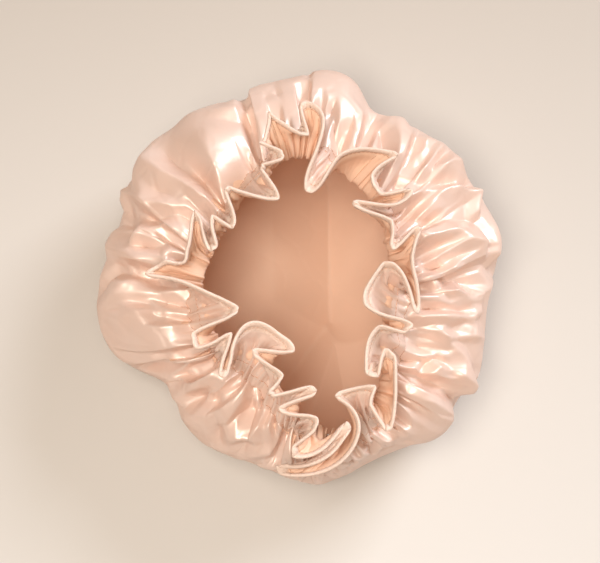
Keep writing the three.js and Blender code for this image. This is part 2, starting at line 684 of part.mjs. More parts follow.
const cap = new THREE.Group();
function add(name, geometry, finish) {
  const mesh = new THREE.Mesh(geometry, new THREE.MeshStandardMaterial({ ...finish, metalness: 0 }));
  mesh.name = name;
  cap.add(mesh);
  return mesh;
}

add("satin_shell", layerGeometry(satinCloth, satinFaces.far, satinFaces.near), satin);
add("waterproof_lining", layerGeometry(liningCloth, liningFaces.near, liningFaces.far), liningCoat);
add("elastic_band", elasticGeometry(), elasticKnit);
const tack = add("elastic_join_tack", tackGeometry(), thread);
tackPlacement().decompose(tack.position, tack.quaternion, tack.scale);

// Each row of stitches has a needle thread on the satin and a bobbin thread on the lining.
const stitchRows = [
  ["hem", hemRow, layerGap],
  ["casing_upper", casingRows[3], valleyGap],
  ["casing_lower", casingRows[0], valleyGap],
];
for (const [name, row, gap] of stitchRows) {
  const needle = threadGeometry(satinCloth, satinFaces.far, row, 1, gap);
  const bobbin = threadGeometry(liningCloth, liningFaces.far, row, -1, layerGap);
  add(name + "_needle_thread", needle, thread);
  add(name + "_bobbin_thread", bobbin, thread);
}

export default cap;
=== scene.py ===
"""A satin shower cap lying crown down with its mouth up, its elastic at rest.

Two rounds of cloth, a satin outside and a waterproof lining, are cut to one size, joined along the
edge and stitched together round a casing. The elastic in the casing gathers them, and the cloth
past it stands up as a deep pleated frill. Sizes are in millimetres until the meshes are made.
"""

import math

import bpy
import numpy as np
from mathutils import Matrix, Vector


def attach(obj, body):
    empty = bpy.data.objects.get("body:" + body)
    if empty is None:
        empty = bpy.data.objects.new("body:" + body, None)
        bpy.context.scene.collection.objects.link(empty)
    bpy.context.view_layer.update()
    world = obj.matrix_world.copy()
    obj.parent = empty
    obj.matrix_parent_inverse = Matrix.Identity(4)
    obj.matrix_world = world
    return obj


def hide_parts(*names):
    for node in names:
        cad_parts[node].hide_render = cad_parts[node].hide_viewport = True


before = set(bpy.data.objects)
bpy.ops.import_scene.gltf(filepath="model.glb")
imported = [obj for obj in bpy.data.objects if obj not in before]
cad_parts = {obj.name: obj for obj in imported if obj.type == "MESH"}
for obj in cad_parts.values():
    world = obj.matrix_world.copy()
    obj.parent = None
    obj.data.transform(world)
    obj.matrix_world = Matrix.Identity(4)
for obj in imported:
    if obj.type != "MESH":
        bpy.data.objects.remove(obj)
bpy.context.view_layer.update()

MM = 0.001
TURN = 2 * math.pi
UP = np.array([0.0, 0.0, 1.0])

# Overall sizes, as the solids have them
BODY_REACH = 125
MOUTH_REACH = 115
MOUTH_FORWARD = 11.5
MOUTH_HEIGHT = 98
MOUTH_BACK_LIFT = 4
MOUTH_SWAY = 2
BELLY_HEIGHT = 46
BELLY_BACK_LIFT = 8
FRILL_WIDTH = 27
CASING_WIDTH = 10
CASING_ANGLE = math.radians(60)
HEM_INSET = 5
SHOULDER_LIFT = 6
BELLY_ROUND = 36
TUCK_ROUND = 26
TUCK_LENGTH = 22
FOLD_ROOM = 50
LINING_SLACK = 4
SWELL_HEIGHT = 9
PLEAT_GAP = 3.2  # least gap between neighbouring runs of the frill's edge
PLEAT_TURN_RADIUS = 0.6
PLEAT_SHORTENING = 108  # how much the pleats shorten from the edge down to the casing
EDGE_SPACING = 1.6
LEAN_REACH = 16  # length of edge over which the frill's lean evens out
CLOTH_FLOOR = 0.5  # middle of the satin where it lies on the table
SHOULDER_SHARE = 0.35
CROWN_SHARE = 0.6
ROUNDING_SHARE = 0.5
LEAN_SHARE = 0.9
RISE_SHARE = 0.85
SHORTEN_SHARE = 1.3
DRAW_SHARE = 1.5
DRAW_IN = 0.5  # of the way to the nearest gather that the cloth is drawn sideways
NEAR_SHARE = 1.6
SPREAD_SHARE = 0.25
STEP_SHARE = 0.3
SPREAD_PASSES = 60
SOFTEN_EVERY = 6
OUTLINE_SAMPLES = 720
BODY_COLUMNS = 72
SIDE_SAMPLES = 60
TABLE_COLUMNS = 180
TABLE_ROWS = 161
CALM_ANGLE = math.radians(-73)  # where the body hangs smooth at the front
BACK_ANGLE = math.radians(80)  # where the mouth comes nearest to the outline

# Flat cut of both rounds of cloth, as radii from the middle of the crown
CUT_RADIUS = 254.0
CASING_TOP = CUT_RADIUS - FRILL_WIDTH
CASING_FOOT = CASING_TOP - CASING_WIDTH
BELLY_CUT = 142
CROWN_CUT = 76  # within this the cloth lies flat
DRAWN_CUT = 150  # out to this the gathers draw the cloth sideways

MOUTH_CENTRE = np.array([-0.02 * MOUTH_REACH, -0.03 * MOUTH_REACH - MOUTH_FORWARD])

# Outline of the body from above, in shares of BODY_REACH
BODY_OUTLINE = [
    (0.99, 0.15), (0.97, 0.27), (0.95, 0.39), (0.92, 0.49), (0.78, 0.63), (0.63, 0.74), (0.5, 0.84),
    (0.35, 0.92), (0.28, 1.02), (0.14, 1.08), (0, 1.04), (-0.16, 1), (-0.33, 0.94), (-0.46, 0.88),
    (-0.58, 0.81), (-0.72, 0.72), (-0.82, 0.63), (-0.87, 0.53), (-0.92, 0.41), (-0.95, 0.3),
    (-0.96, 0.2), (-0.94, 0.09), (-0.99, -0.05), (-0.98, -0.19), (-0.94, -0.32), (-0.85, -0.41),
    (-0.68, -0.49), (-0.62, -0.56), (-0.55, -0.7), (-0.47, -0.8), (-0.3, -0.87), (-0.15, -0.92),
    (-0.03, -0.97), (0.05, -1), (0.2, -0.96), (0.35, -0.88), (0.5, -0.82), (0.65, -0.77),
    (0.77, -0.66), (0.85, -0.55), (0.89, -0.4), (0.92, -0.25), (0.92, -0.11), (0.96, -0.01),
]

# Where the cloth outside is drawn together most, in shares of a full turn from the right
GATHER_SHARES = [
    0.006, 0.072, 0.114, 0.181, 0.242, 0.292, 0.369, 0.45, 0.489, 0.531, 0.603, 0.675, 0.747,
    0.822, 0.892, 0.939,
]

# Radii of the elastic at rest at even angles from the right, in shares of MOUTH_REACH
ELASTIC_RADII = [
    0.53, 0.55, 0.62, 0.68, 0.72, 0.61, 0.52, 0.5, 0.52, 0.52, 0.49, 0.49, 0.69, 0.79, 0.66, 0.55,
]

# Edge of the frill from above, in shares of MOUTH_REACH
FRILL_EDGE = [
    (-0.76, 0.03), (-0.77, -0.01), (-0.67, -0.02), (-0.57, -0.05), (-0.47, -0.1), (-0.41, -0.13),
    (-0.34, -0.14), (-0.3, -0.15), (-0.3, -0.19), (-0.35, -0.21), (-0.4, -0.24), (-0.47, -0.26),
    (-0.53, -0.29), (-0.52, -0.34), (-0.49, -0.38), (-0.44, -0.36), (-0.38, -0.31), (-0.34, -0.28),
    (-0.32, -0.31), (-0.36, -0.38), (-0.39, -0.45), (-0.39, -0.51), (-0.35, -0.52), (-0.32, -0.4),
    (-0.29, -0.3), (-0.24, -0.24), (-0.16, -0.26), (-0.08, -0.31), (-0.03, -0.34), (-0.04, -0.39),
    (-0.11, -0.38), (-0.18, -0.36), (-0.25, -0.37), (-0.21, -0.42), (-0.14, -0.46), (-0.08, -0.48),
    (-0.09, -0.52), (-0.12, -0.54), (-0.17, -0.57), (-0.14, -0.61), (-0.06, -0.59), (0.03, -0.55),
    (0.08, -0.56), (0.08, -0.6), (0.01, -0.61), (-0.07, -0.63), (-0.11, -0.65), (-0.07, -0.69),
    (-0.02, -0.7), (0.05, -0.68), (0.09, -0.72), (0.06, -0.79), (-0.01, -0.81), (-0.05, -0.84),
    (-0.04, -0.88), (0.03, -0.89), (0.11, -0.86), (0.17, -0.79), (0.19, -0.76), (0.2, -0.72),
    (0.24, -0.72), (0.24, -0.76), (0.21, -0.8), (0.15, -0.88), (0.07, -0.92), (-0.03, -0.93),
    (-0.12, -0.91), (-0.12, -0.94), (-0.04, -0.97), (0.06, -0.97), (0.18, -0.93), (0.26, -0.83),
    (0.29, -0.73), (0.26, -0.66), (0.22, -0.63), (0.16, -0.62), (0.18, -0.57), (0.24, -0.57),
    (0.32, -0.54), (0.37, -0.53), (0.38, -0.57), (0.34, -0.6), (0.32, -0.65), (0.36, -0.67),
    (0.39, -0.7), (0.39, -0.77), (0.43, -0.77), (0.46, -0.68), (0.46, -0.58), (0.46, -0.47),
    (0.45, -0.38), (0.39, -0.37), (0.4, -0.44), (0.39, -0.51), (0.33, -0.51), (0.32, -0.42),
    (0.33, -0.32), (0.38, -0.25), (0.42, -0.25), (0.48, -0.3), (0.53, -0.28), (0.55, -0.24),
    (0.46, -0.22), (0.38, -0.2), (0.31, -0.15), (0.31, -0.11), (0.35, -0.04), (0.4, 0.03),
    (0.43, 0.06), (0.46, 0.05), (0.49, 0), (0.52, -0.07), (0.53, -0.15), (0.54, -0.2),
    (0.58, -0.2), (0.58, -0.12), (0.56, -0.01), (0.54, 0.08), (0.57, 0.16), (0.61, 0.21),
    (0.58, 0.24), (0.53, 0.19), (0.49, 0.14), (0.45, 0.1), (0.43, 0.13), (0.45, 0.18),
    (0.47, 0.25), (0.42, 0.29), (0.33, 0.3), (0.26, 0.34), (0.26, 0.38), (0.33, 0.37), (0.4, 0.34),
    (0.48, 0.35), (0.56, 0.4), (0.55, 0.45), (0.48, 0.42), (0.41, 0.4), (0.37, 0.45), (0.37, 0.52),
    (0.43, 0.56), (0.5, 0.59), (0.49, 0.63), (0.42, 0.64), (0.32, 0.64), (0.22, 0.63),
    (0.16, 0.57), (0.12, 0.5), (0.08, 0.43), (0.03, 0.43), (0.03, 0.47), (0.06, 0.56), (0.1, 0.65),
    (0.13, 0.76), (0.11, 0.86), (0.04, 0.9), (-0.01, 0.88), (0.01, 0.8), (0.05, 0.73),
    (0.04, 0.69), (-0.02, 0.73), (-0.09, 0.78), (-0.14, 0.84), (-0.18, 0.82), (-0.17, 0.76),
    (-0.18, 0.68), (-0.23, 0.63), (-0.17, 0.63), (-0.09, 0.62), (-0.08, 0.57), (-0.14, 0.55),
    (-0.2, 0.55), (-0.21, 0.51), (-0.16, 0.48), (-0.1, 0.41), (-0.11, 0.36), (-0.16, 0.36),
    (-0.26, 0.4), (-0.36, 0.44), (-0.39, 0.41), (-0.34, 0.33), (-0.31, 0.25), (-0.34, 0.2),
    (-0.41, 0.29), (-0.45, 0.28), (-0.43, 0.2), (-0.4, 0.14), (-0.42, 0.1), (-0.45, 0.11),
    (-0.48, 0.2), (-0.5, 0.31), (-0.54, 0.32), (-0.54, 0.22), (-0.56, 0.13), (-0.57, 0.05),
    (-0.6, 0.04), (-0.63, 0.08), (-0.67, 0.1), (-0.71, 0.06),
]


def around_table(values, angle):
    """A value between those of a table at even angles all round."""
    table = np.asarray(values, float)
    n = len(table)
    place = (np.asarray(angle) / TURN * n) % n
    i = np.floor(place).astype(int) % n
    t = place - np.floor(place)
    a, b, c, d = (table[(i + k) % n] for k in (-1, 0, 1, 2))
    bend = 2 * b + (c - a) * t
    return (bend + (2 * a - 5 * b + 4 * c - d) * t**2 + (3 * b - a - 3 * c + d) * t**3) / 2


def smooth_step(low, high, value):
    """A soft step from 0 at one value to 1 at another."""
    t = np.clip((value - low) / (high - low), 0, 1)
    return t * t * (3 - 2 * t)


def by_radius(pairs, radii):
    """Values at radii of the flat cut, between those of a table of radii and values."""
    return np.interp(radii, *np.array(pairs, float).T)


def in_span(radii, span):
    """A share of 1 between the two middle radii of a span, falling softly to 0 at its outer two."""
    inner, from_radius, to_radius, outer = span
    return smooth_step(inner, from_radius, radii) * smooth_step(outer, to_radius, radii)


def off_angle(angle, middle):
    """How far an angle is turned from a middle one, at most half a turn to either side."""
    return (angle - middle + math.pi) % TURN - math.pi


def closed_line(shares, unit, forward, count):
    """A closed smooth line through the points of a table, evenly spaced."""
    table = np.array(shares) * unit - np.array([0, forward])
    p0, p1, p2, p3 = (np.roll(table, k, axis=0) for k in (1, 0, -1, -2))
    sides = ((p0, p1), (p1, p2), (p2, p3))
    gaps = [np.sqrt(np.linalg.norm(b - a, axis=1))[:, None] for a, b in sides]
    m1 = ((p1 - p0) / gaps[0] - (p2 - p0) / (gaps[0] + gaps[1]) + (p2 - p1) / gaps[1]) * gaps[1]
    m2 = ((p2 - p1) / gaps[1] - (p3 - p1) / (gaps[1] + gaps[2]) + (p3 - p2) / gaps[2]) * gaps[1]
    t = np.linspace(0, 1, 24, endpoint=False)[:, None, None]
    points = (
        p1 + m1 * t + (3 * (p2 - p1) - 2 * m1 - m2) * t**2 + (2 * (p1 - p2) + m1 + m2) * t**3
    )
    return evenly(points.transpose(1, 0, 2).reshape(-1, 2), count)


def evenly(line, count):
    """A closed line's points after spacing them evenly. A third column runs once from 0 to 1."""
    steps = np.linalg.norm(np.roll(line[:, :2], -1, axis=0) - line[:, :2], axis=1)
    walked = np.concatenate([[0], np.cumsum(steps)])
    goal = np.arange(count) / count * walked[-1]
    closed = np.vstack([line, line[:1]])
    if line.shape[1] == 3:
        closed[-1, 2] += 1
    return np.stack([np.interp(goal, walked, column) for column in closed.T], axis=1)


def length_of(line):
    """Length of a closed line seen from above."""
    return np.linalg.norm(np.roll(line[:, :2], -1, axis=0) - line[:, :2], axis=1).sum()


def spaced(line, spacing):
    """A closed line with its points about this far apart."""
    return evenly(line, round(length_of(line) / spacing))


def evened(values, reach):
    """A closed row of values, each replaced by the weighted mean of those near it."""
    wide = math.ceil(3 * reach)
    weights = np.exp(-0.5 * (np.arange(-wide, wide + 1) / reach) ** 2)
    padded = np.concatenate([values[-wide:], values, values[:wide]])
    return np.convolve(padded, weights / weights.sum(), mode="valid")


def radii_of(line, count):
    """Radii of a closed line about the origin at even angles."""
    angles = np.arctan2(line[:, 1], line[:, 0]) % TURN
    order = np.argsort(angles)
    reach = np.linalg.norm(line, axis=1)
    return np.interp(np.arange(count) / count * TURN, angles[order], reach[order], period=TURN)


def frill_edge():
    """The edge of the frill, its turns rounded and its runs kept apart as thick cloth is."""
    line = closed_line(FRILL_EDGE, MOUTH_REACH, MOUTH_FORWARD, OUTLINE_SAMPLES)
    line = spaced(line, EDGE_SPACING)
    n = len(line)
    near = math.ceil(NEAR_SHARE * PLEAT_GAP / EDGE_SPACING)
    soft = PLEAT_TURN_RADIUS / EDGE_SPACING / math.sqrt(SPREAD_PASSES / SOFTEN_EVERY)
    index = np.arange(n)
    gap = np.abs(index[:, None] - index[None, :])
    apart = (gap >= near) & (n - gap >= near)
    for step in range(SPREAD_PASSES):
        if step % SOFTEN_EVERY == 0:
            line = np.stack([evened(column, soft) for column in line.T], axis=1)
        between = line[:, None] - line[None]
        distance = np.linalg.norm(between, axis=2)
        short = np.where(apart, np.maximum(PLEAT_GAP - distance, 0), 0)
        push = (SPREAD_SHARE * short / np.maximum(distance, 1e-6))[..., None] * between
        line = line + push.sum(axis=1)
    return spaced(np.column_stack([line, index / n]), EDGE_SPACING)


def shortened(line, amount):
    """A closed line with its points moved towards their neighbours, which shortens its pleats."""
    step = STEP_SHARE * EDGE_SPACING**2
    done = 0.0
    while done < amount:
        share = min(step, amount - done) / EDGE_SPACING**2
        before, after = np.roll(line, 1, axis=0), np.roll(line, -1, axis=0)
        before[0, 2] -= 1
        after[-1, 2] += 1
        line = line + 2 * share * ((before + after) / 2 - line)
        line = spaced(line, EDGE_SPACING)
        done += step
    return line


OUTLINE_RADII = radii_of(closed_line(BODY_OUTLINE, BODY_REACH, 0, OUTLINE_SAMPLES), BODY_COLUMNS)
MEAN_RADIUS = OUTLINE_RADII.mean()


def elastic_point(angle):
    """The middle line of the elastic."""
    radius = around_table(ELASTIC_RADII, angle) * MOUTH_REACH
    x = MOUTH_CENTRE[0] + radius * np.cos(angle)
    y = MOUTH_CENTRE[1] + radius * np.sin(angle)
    height = MOUTH_HEIGHT + MOUTH_BACK_LIFT * np.sin(angle) + MOUTH_SWAY * np.cos(3 * angle)
    return np.stack([x, y, height], axis=-1)


def unit(vectors):
    """Vectors brought to length 1."""
    return vectors / np.maximum(np.linalg.norm(vectors, axis=-1, keepdims=True), 1e-9)


def casing_frame(angle):
    """Along the elastic, up the casing towards the frill, and out from the head."""
    small = TURN / OUTLINE_SAMPLES
    along = unit(elastic_point(angle + small) - elastic_point(angle - small))
    outwards = unit(np.cross(along, UP))
    rise = unit(-math.cos(CASING_ANGLE) * outwards + math.sin(CASING_ANGLE) * UP)
    return along, rise, unit(np.cross(along, rise))


def casing_point(angle, across):
    """Points on the casing's middle surface, this far up it from the middle of the elastic."""
    return elastic_point(angle) + casing_frame(angle)[1] * np.asarray(across)[..., None]


def bezier(points, t):
    """Points this far along cubic curves, one curve for each column."""
    a, b, c, d = points
    return a * (1 - t) ** 3 + 3 * b * t * (1 - t) ** 2 + 3 * c * t**2 * (1 - t) + d * t**3


def side_curves(angle):
    """The two curves down the side of the body at an angle, casing to belly and belly to crown."""
    outwards = np.stack([np.cos(angle), np.sin(angle), np.zeros_like(angle)], axis=-1)
    radius = around_table(OUTLINE_RADII, angle)
    flat = CROWN_SHARE * (radius + (MEAN_RADIUS - radius) * ROUNDING_SHARE)
    top = casing_point(angle, np.full_like(angle, -CASING_WIDTH / 2))
    belly = outwards * radius[..., None]
    belly[..., 2] = BELLY_HEIGHT + BELLY_BACK_LIFT * outwards[..., 1]
    crown = outwards * flat[..., None]
    crown[..., 2] = CLOTH_FLOOR
    room = np.minimum(1, np.linalg.norm((top - belly)[..., :2], axis=-1) / FOLD_ROOM)
    shoulder = top + SHOULDER_SHARE * (belly - top)
    shoulder[..., 2] = top[..., 2] + room * SHOULDER_LIFT
    side = (top, shoulder, belly + UP * BELLY_ROUND, belly)
    tuck = (belly, belly - UP * TUCK_ROUND, crown + outwards * TUCK_LENGTH, crown)
    return side, tuck, flat


# Rows of the cloth as radii of the flat cut, from the edge inwards, and points round each
FRILL_ROWS = np.linspace(CUT_RADIUS, CASING_TOP, 12)
CASING_ROWS = np.linspace(CASING_TOP, CASING_FOOT, 5)
BODY_ROWS = np.linspace(CASING_FOOT, BELLY_CUT, 31)
TUCK_ROWS = np.linspace(BELLY_CUT, CROWN_CUT, 27)
COLUMNS = 640


def frill_lines():
    """Each row of the frill as a closed line with its places along the edge, edge first."""
    line = frill_edge()
    heights = (FRILL_ROWS - CASING_TOP) / FRILL_WIDTH
    lines, amount = [line], 0.0
    for height in heights[1:]:
        goal = PLEAT_SHORTENING * (1 - height) ** SHORTEN_SHARE
        lines.append(shortened(lines[-1], goal - amount))
        amount = goal
    return lines, heights


def labelled(line, places):
    """Points of a closed line at places along the edge of the frill."""
    base = line[0, 2]
    along = line[:, 2] - base
    goal = (places - base) % 1.0
    return np.stack([np.interp(goal, along, line[:, k], period=1.0) for k in (0, 1)], axis=1)


def main_guides():
    """The frill's lines, and each column's place and angles in the flat cut and at the mouth."""
    lines, heights = frill_lines()
    edge, foot = lines[0], lines[-1]
    places = np.arange(COLUMNS) / COLUMNS
    foot_at = labelled(foot, places) - MOUTH_CENTRE
    root = np.unwrap(np.arctan2(foot_at[:, 1], foot_at[:, 0]))
    turn_of = places * TURN
    start = (root - turn_of).mean()
    lag = evened(root - turn_of - start, 4)
    theta = turn_of + start
    root = theta + lag
    return lines, heights, edge, places, theta, lag, root


def gather_place(angle):
    """The gathers on both sides of an angle, in turns, and how far it lies between them."""
    turns = np.asarray(angle) / TURN % 1.0
    gathers = np.array([GATHER_SHARES[-1] - 1, *GATHER_SHARES, GATHER_SHARES[0] + 1])
    after = np.searchsorted(gathers, turns, side="right")
    low, high = gathers[after - 1], gathers[after]
    return low, high, (turns - low) / (high - low)


def swell_share(angle):
    """How far the cloth swells at an angle, from 0 at a gather to 1 between two far apart."""
    low, high, between = gather_place(angle)
    return np.minimum(1, (high - low) * len(GATHER_SHARES)) * (4 * between * (1 - between)) ** 0.75


def drawn(angle):
    """How far the cloth is drawn sideways towards the nearest gather at an angle of the mouth."""
    low, high, between = gather_place(angle)
    half = (high - low) / 2 * TURN
    offset = np.where(between < 0.5, between, between - 1) * 2 * half
    return -DRAW_IN * offset * (1 - np.abs(offset) / half)


def body_table(columns):
    """Points down the side of the body, evenly spaced by length, at even angles all round."""
    angle = np.arange(columns) / columns * TURN
    side, tuck, flat = side_curves(angle)
    t = np.linspace(0, 1, SIDE_SAMPLES)[:, None, None]
    points = np.concatenate([bezier(side, t), bezier(tuck, t)[1:]])
    steps = np.linalg.norm(np.diff(points, axis=0), axis=2)
    walked = np.vstack([np.zeros(columns), np.cumsum(steps, axis=0)])
    goal = np.linspace(0, 1, TABLE_ROWS)
    even = np.empty((TABLE_ROWS, columns, 3))
    for k in range(columns):
        for axis in range(3):
            even[:, k, axis] = np.interp(goal * walked[-1, k], walked[:, k], points[:, k, axis])
    return even, flat


def smooth_form(angle_rows, radius_rows, table, flats):
    """The body without folds, for rows of angles and the flat cut's radii."""
    columns = table.shape[1]
    place = (angle_rows / TURN * columns) % columns
    i = np.floor(place).astype(int) % columns
    f = (place - np.floor(place))[..., None]
    column_angles = np.arange(columns + 1) / columns * TURN
    flat = np.interp(angle_rows % TURN, column_angles, np.append(flats, flats[0]))
    share = np.clip((CASING_FOOT - radius_rows) / (CASING_FOOT - flat), 0, 1)
    down = share * (len(table) - 1)
    j = np.minimum(np.floor(down).astype(int), len(table) - 2)
    g = (down - j)[..., None]
    i2 = (i + 1) % columns
    upper = table[j, i] * (1 - f) + table[j, i2] * f
    lower = table[j + 1, i] * (1 - f) + table[j + 1, i2] * f
    form = upper * (1 - g) + lower * g
    inside = radius_rows < flat
    ray = np.stack([np.cos(angle_rows), np.sin(angle_rows), np.zeros_like(angle_rows)], axis=-1)
    crown = ray * radius_rows[..., None]
    crown[..., 2] = CLOTH_FLOOR
    return np.where(inside[..., None], crown, form)


def wave_depth(gather):
    """Depth times wave number of a wave that takes up this share of cloth."""
    depths = np.linspace(0, 14, 400)
    t = np.linspace(0, TURN, 400, endpoint=False)
    lengths = np.sqrt(1 + (depths[:, None] * np.cos(t)) ** 2).mean(axis=1)
    return np.interp(gather, lengths, depths)


def wander(theta, waves, size, seed):
    """Smooth random drift round the cap."""
    local = np.random.default_rng(seed)
    total = np.zeros_like(theta)
    for k in range(1, waves + 1):
        total += local.normal() * np.cos(k * theta + local.uniform(0, TURN))
    return size * total / math.sqrt(waves / 2)


def cloth_form():
    """Where every point of the cloth starts: rows from the edge to the crown, with first folds."""
    lines, heights, edge, places, theta, lag, root = main_guides()
    # Frill
    foot_radii = radii_of(lines[-1][:, :2] - MOUTH_CENTRE, OUTLINE_SAMPLES)
    edge_places = edge[:, 2] % 1.0
    edge_angles = np.interp(edge_places, places, theta)
    edge_angles += np.interp(edge_places, places, root - theta, period=1.0)
    edge_root = casing_point(edge_angles, np.full(len(edge), CASING_WIDTH / 2))
    leans = np.linalg.norm(edge_root[:, :2] - edge[:, :2], axis=1)
    leans = evened(np.minimum(leans, LEAN_SHARE * FRILL_WIDTH), LEAN_REACH / EDGE_SPACING)
    rises = np.sqrt(FRILL_WIDTH**2 - leans**2)
    rise_at = np.interp(places, edge_places, rises, period=1.0)
    foot_angles = np.arange(OUTLINE_SAMPLES) / OUTLINE_SAMPLES * TURN
    foot_z = casing_point(root, np.full(COLUMNS, CASING_WIDTH / 2))[:, 2]
    rows = []
    for line, height in zip(lines, heights):
        out = labelled(line, places) - MOUTH_CENTRE
        angle = np.arctan2(out[:, 1], out[:, 0])
        casing = casing_point(angle, np.full(COLUMNS, CASING_WIDTH / 2))
        reach = np.linalg.norm(casing[:, :2] - MOUTH_CENTRE, axis=1)
        foot_reach = np.interp(angle % TURN, foot_angles, foot_radii, period=TURN)
        inwards = (1 - height) ** DRAW_SHARE
        at = out * (1 + inwards * (reach / foot_reach - 1))[:, None] + MOUTH_CENTRE
        shift = drawn(root) * smooth_step(0.5, 0, height)
        about = at - MOUTH_CENTRE
        turned = np.column_stack([
            about[:, 0] * np.cos(shift) - about[:, 1] * np.sin(shift),
            about[:, 0] * np.sin(shift) + about[:, 1] * np.cos(shift),
        ])
        rows.append(np.column_stack([turned + MOUTH_CENTRE, foot_z + rise_at * height**RISE_SHARE]))
    # Casing
    gathered = root + drawn(root)
    for radius in CASING_ROWS[1:]:
        across = radius - (CASING_TOP + CASING_FOOT) / 2
        rows.append(casing_point(gathered, np.full(COLUMNS, across)))
    # Body
    table, flats = body_table(TABLE_COLUMNS)
    turned_rows = [root] * len(FRILL_ROWS) + [gathered] * (len(CASING_ROWS) - 1)
    for radius in list(BODY_ROWS[1:]) + list(TUCK_ROWS[1:]):
        turn_share = smooth_step(CROWN_CUT, CASING_FOOT, radius)
        gather_share = smooth_step(DRAWN_CUT, CASING_FOOT, radius)
        angles = theta + lag * turn_share + drawn(root) * gather_share
        turned_rows.append(angles)
        rows.append(smooth_form(angles, np.full(COLUMNS, radius), table, flats))
    radii = np.concatenate([FRILL_ROWS, CASING_ROWS[1:], BODY_ROWS[1:], TUCK_ROWS[1:]])
    return np.stack(rows), radii, theta, root, np.stack(turned_rows)


def outward(grid):
    """Directions square to a closed band of rows, away from the head."""
    along = np.roll(grid, -1, axis=1) - np.roll(grid, 1, axis=1)
    down = np.gradient(grid, axis=0)
    return unit(np.cross(down, along))


# How the cloth behaves at radii of its flat cut, as pairs of a radius and a value. First, how much
# of their full height its swells have
SWELLING = [(76, 0), (109, 0.15), (142, 0.2), (165, 0.7), (187, 1), (206, 0.5), (217, 0)]
# How much of its cut length the cloth keeps round the cap
EASE = [(120, 1), (142, 0.95), (165, 0.9), (185, 0.87), (205, 0.93), (218, 1)]
# How firmly the cloth is held in place in each pass
HOLD = [
    (76, 0.06), (120, 0.02), (150, 0.004), (205, 0.004), (217, 0.03), (227, 0.03), (235, 0.02),
    (252, 0.15), (254, 0.6),
]
# How unlike two faces may be and still be drawn into one facet, and how far that is carried out
ALIKE = [(80, 0.25), (200, 0.25), (220, 0.4), (254, 0.4)]
CREASING = [(80, 0), (100, 1), (245, 1), (254, 0.6)]
# Heights in mm of the broad facets, of the small ones, and of all folds together at most
BROAD_HEIGHTS = [(80, 0), (100, 5), (142, 6), (185, 6.5), (212, 1)]
SMALL_HEIGHTS = [(80, 0), (100, 1), (142, 1.6), (205, 1.6), (216, 0)]
MOST_HEIGHTS = [(76, 1.5), (110, 2), (142, 3), (160, 8), (185, 14), (217, 20)]

# Spans of the flat cut's radii: where something starts, where it is full, to where, and its end
FAN_SPAN = (105, 165, 214, 228)
CRUMPLE_SPAN = (96, 125, 196, 214)
GATHER_SPAN = (204, 216, 228, 236)
SLACK_SPAN = (90, 120, 200, 214)  # where the satin has spare length down the body
FRONT_SPAN = (110, 150, 200, 215)  # where the smooth front is drawn tight
SHARP_SPAN = (90, 110, 214, 226)  # where the cloth is creased once more
LIFT_SPAN = (211, 217, 227, 231)  # where the satin keeps clear of the elastic
TUNNEL_SPAN = (202, 214, 228, 236)  # where the lining lies on the elastic's other side

# How busy the crumples are at even angles from the right
BUSY_SHARES = [
    0.8, 0.7, 0.6, 0.6, 0.6, 0.3, 0.25, 0.9, 1, 0.9, 0.9, 0.9, 0.1, 0.1, 0.5, 0.9,
]

FAN_FOLDS = (3.2, 5.2)  # least and most folds in a fan
FAN_DEPTH = 0.75
FAN_WIDTHS = (8, 46)  # narrowest and widest fold of a fan in mm
FAN_SWAY, FAN_SWAY_LENGTH = 0.35, 22
FAN_SHARPNESS, FAN_CREST = 0.94, 1.2
FAN_FALL = 5.0  # how fast a fan's share falls with the distance from its gather
GATHER_FOLDS = 60  # small folds of the gathers all round the casing
CASING_REACH = 3.2  # from the middle of the casing, over which its gathers are flatter
CASING_LIFT = 2.4
CRUMPLE_HEIGHT = 5.5
CRUMPLE_RADII = (95, 232)  # between these radii of the flat cut lie the crumples' middles
FIRST_CRUMPLES = (100, 16, 1.4, 23)  # how many, width of a ridge, stretch downwards, and seed
BUSY_CRUMPLES = (150, 7, 1.5, 31)
PUSHED = (-7, 9)  # how far in and out the first folds may go
FOLD_SHARE = 1.5  # how much higher the long folds stand than their table says
SIDEWAYS_SHARE = 0.3  # of their height, how far folds stand out where the body faces sideways
SIDEWAYS_DEPTH, UPWARDS_DEPTH = 4.5, 12  # how far they may sink where it faces sideways or up
BACK_SHARE, BACK_SPAN = 0.25, (0.2, 0.75)  # how flat the cloth lies at the back, and how far round
FACET_RADIUS, FACET_ROWS = 170, 64
BROAD_FACETS = (26, 34, 41)  # width and height of a facet in mm, and the seed of its heights
SMALL_FACETS = (13, 17, 43)
DOWN_SLACK = 0.08  # spare length of the satin down the body, which lets it crumple
CLOTH_APART = 1.9  # least distance between runs of cloth that lie side by side
FRONT_TIGHTNESS = 0.3
PASSES, QUICK_PASSES = 260, 60
SEARCH_EVERY = 6  # passes between two searches for runs of cloth that touch
SEARCH_SHARE = 1.3  # of CLOTH_APART, within which such runs are looked for
CUT_SHARE = 2.2  # of CLOTH_APART, the least distance in the flat cut between points that touch
LOOSE_FROM = 120  # radius of the flat cut outside which runs of cloth can touch
MOVE_SHARE = 3.2  # how far each pass goes of what all the springs ask for
CREASING_PASSES = 24
CELLS = 2048  # cells along each side of the grid in which near points are looked up

# Neighbours that a face of the cloth is evened out with, as rows and columns away
NEIGHBOURS = [
    (0, 1), (0, -1), (0, 2), (0, -2), (0, 4), (0, -4), (1, 0), (-1, 0), (2, 0), (-2, 0),
    (1, 2), (-1, -2), (1, -2), (-1, 2),
]

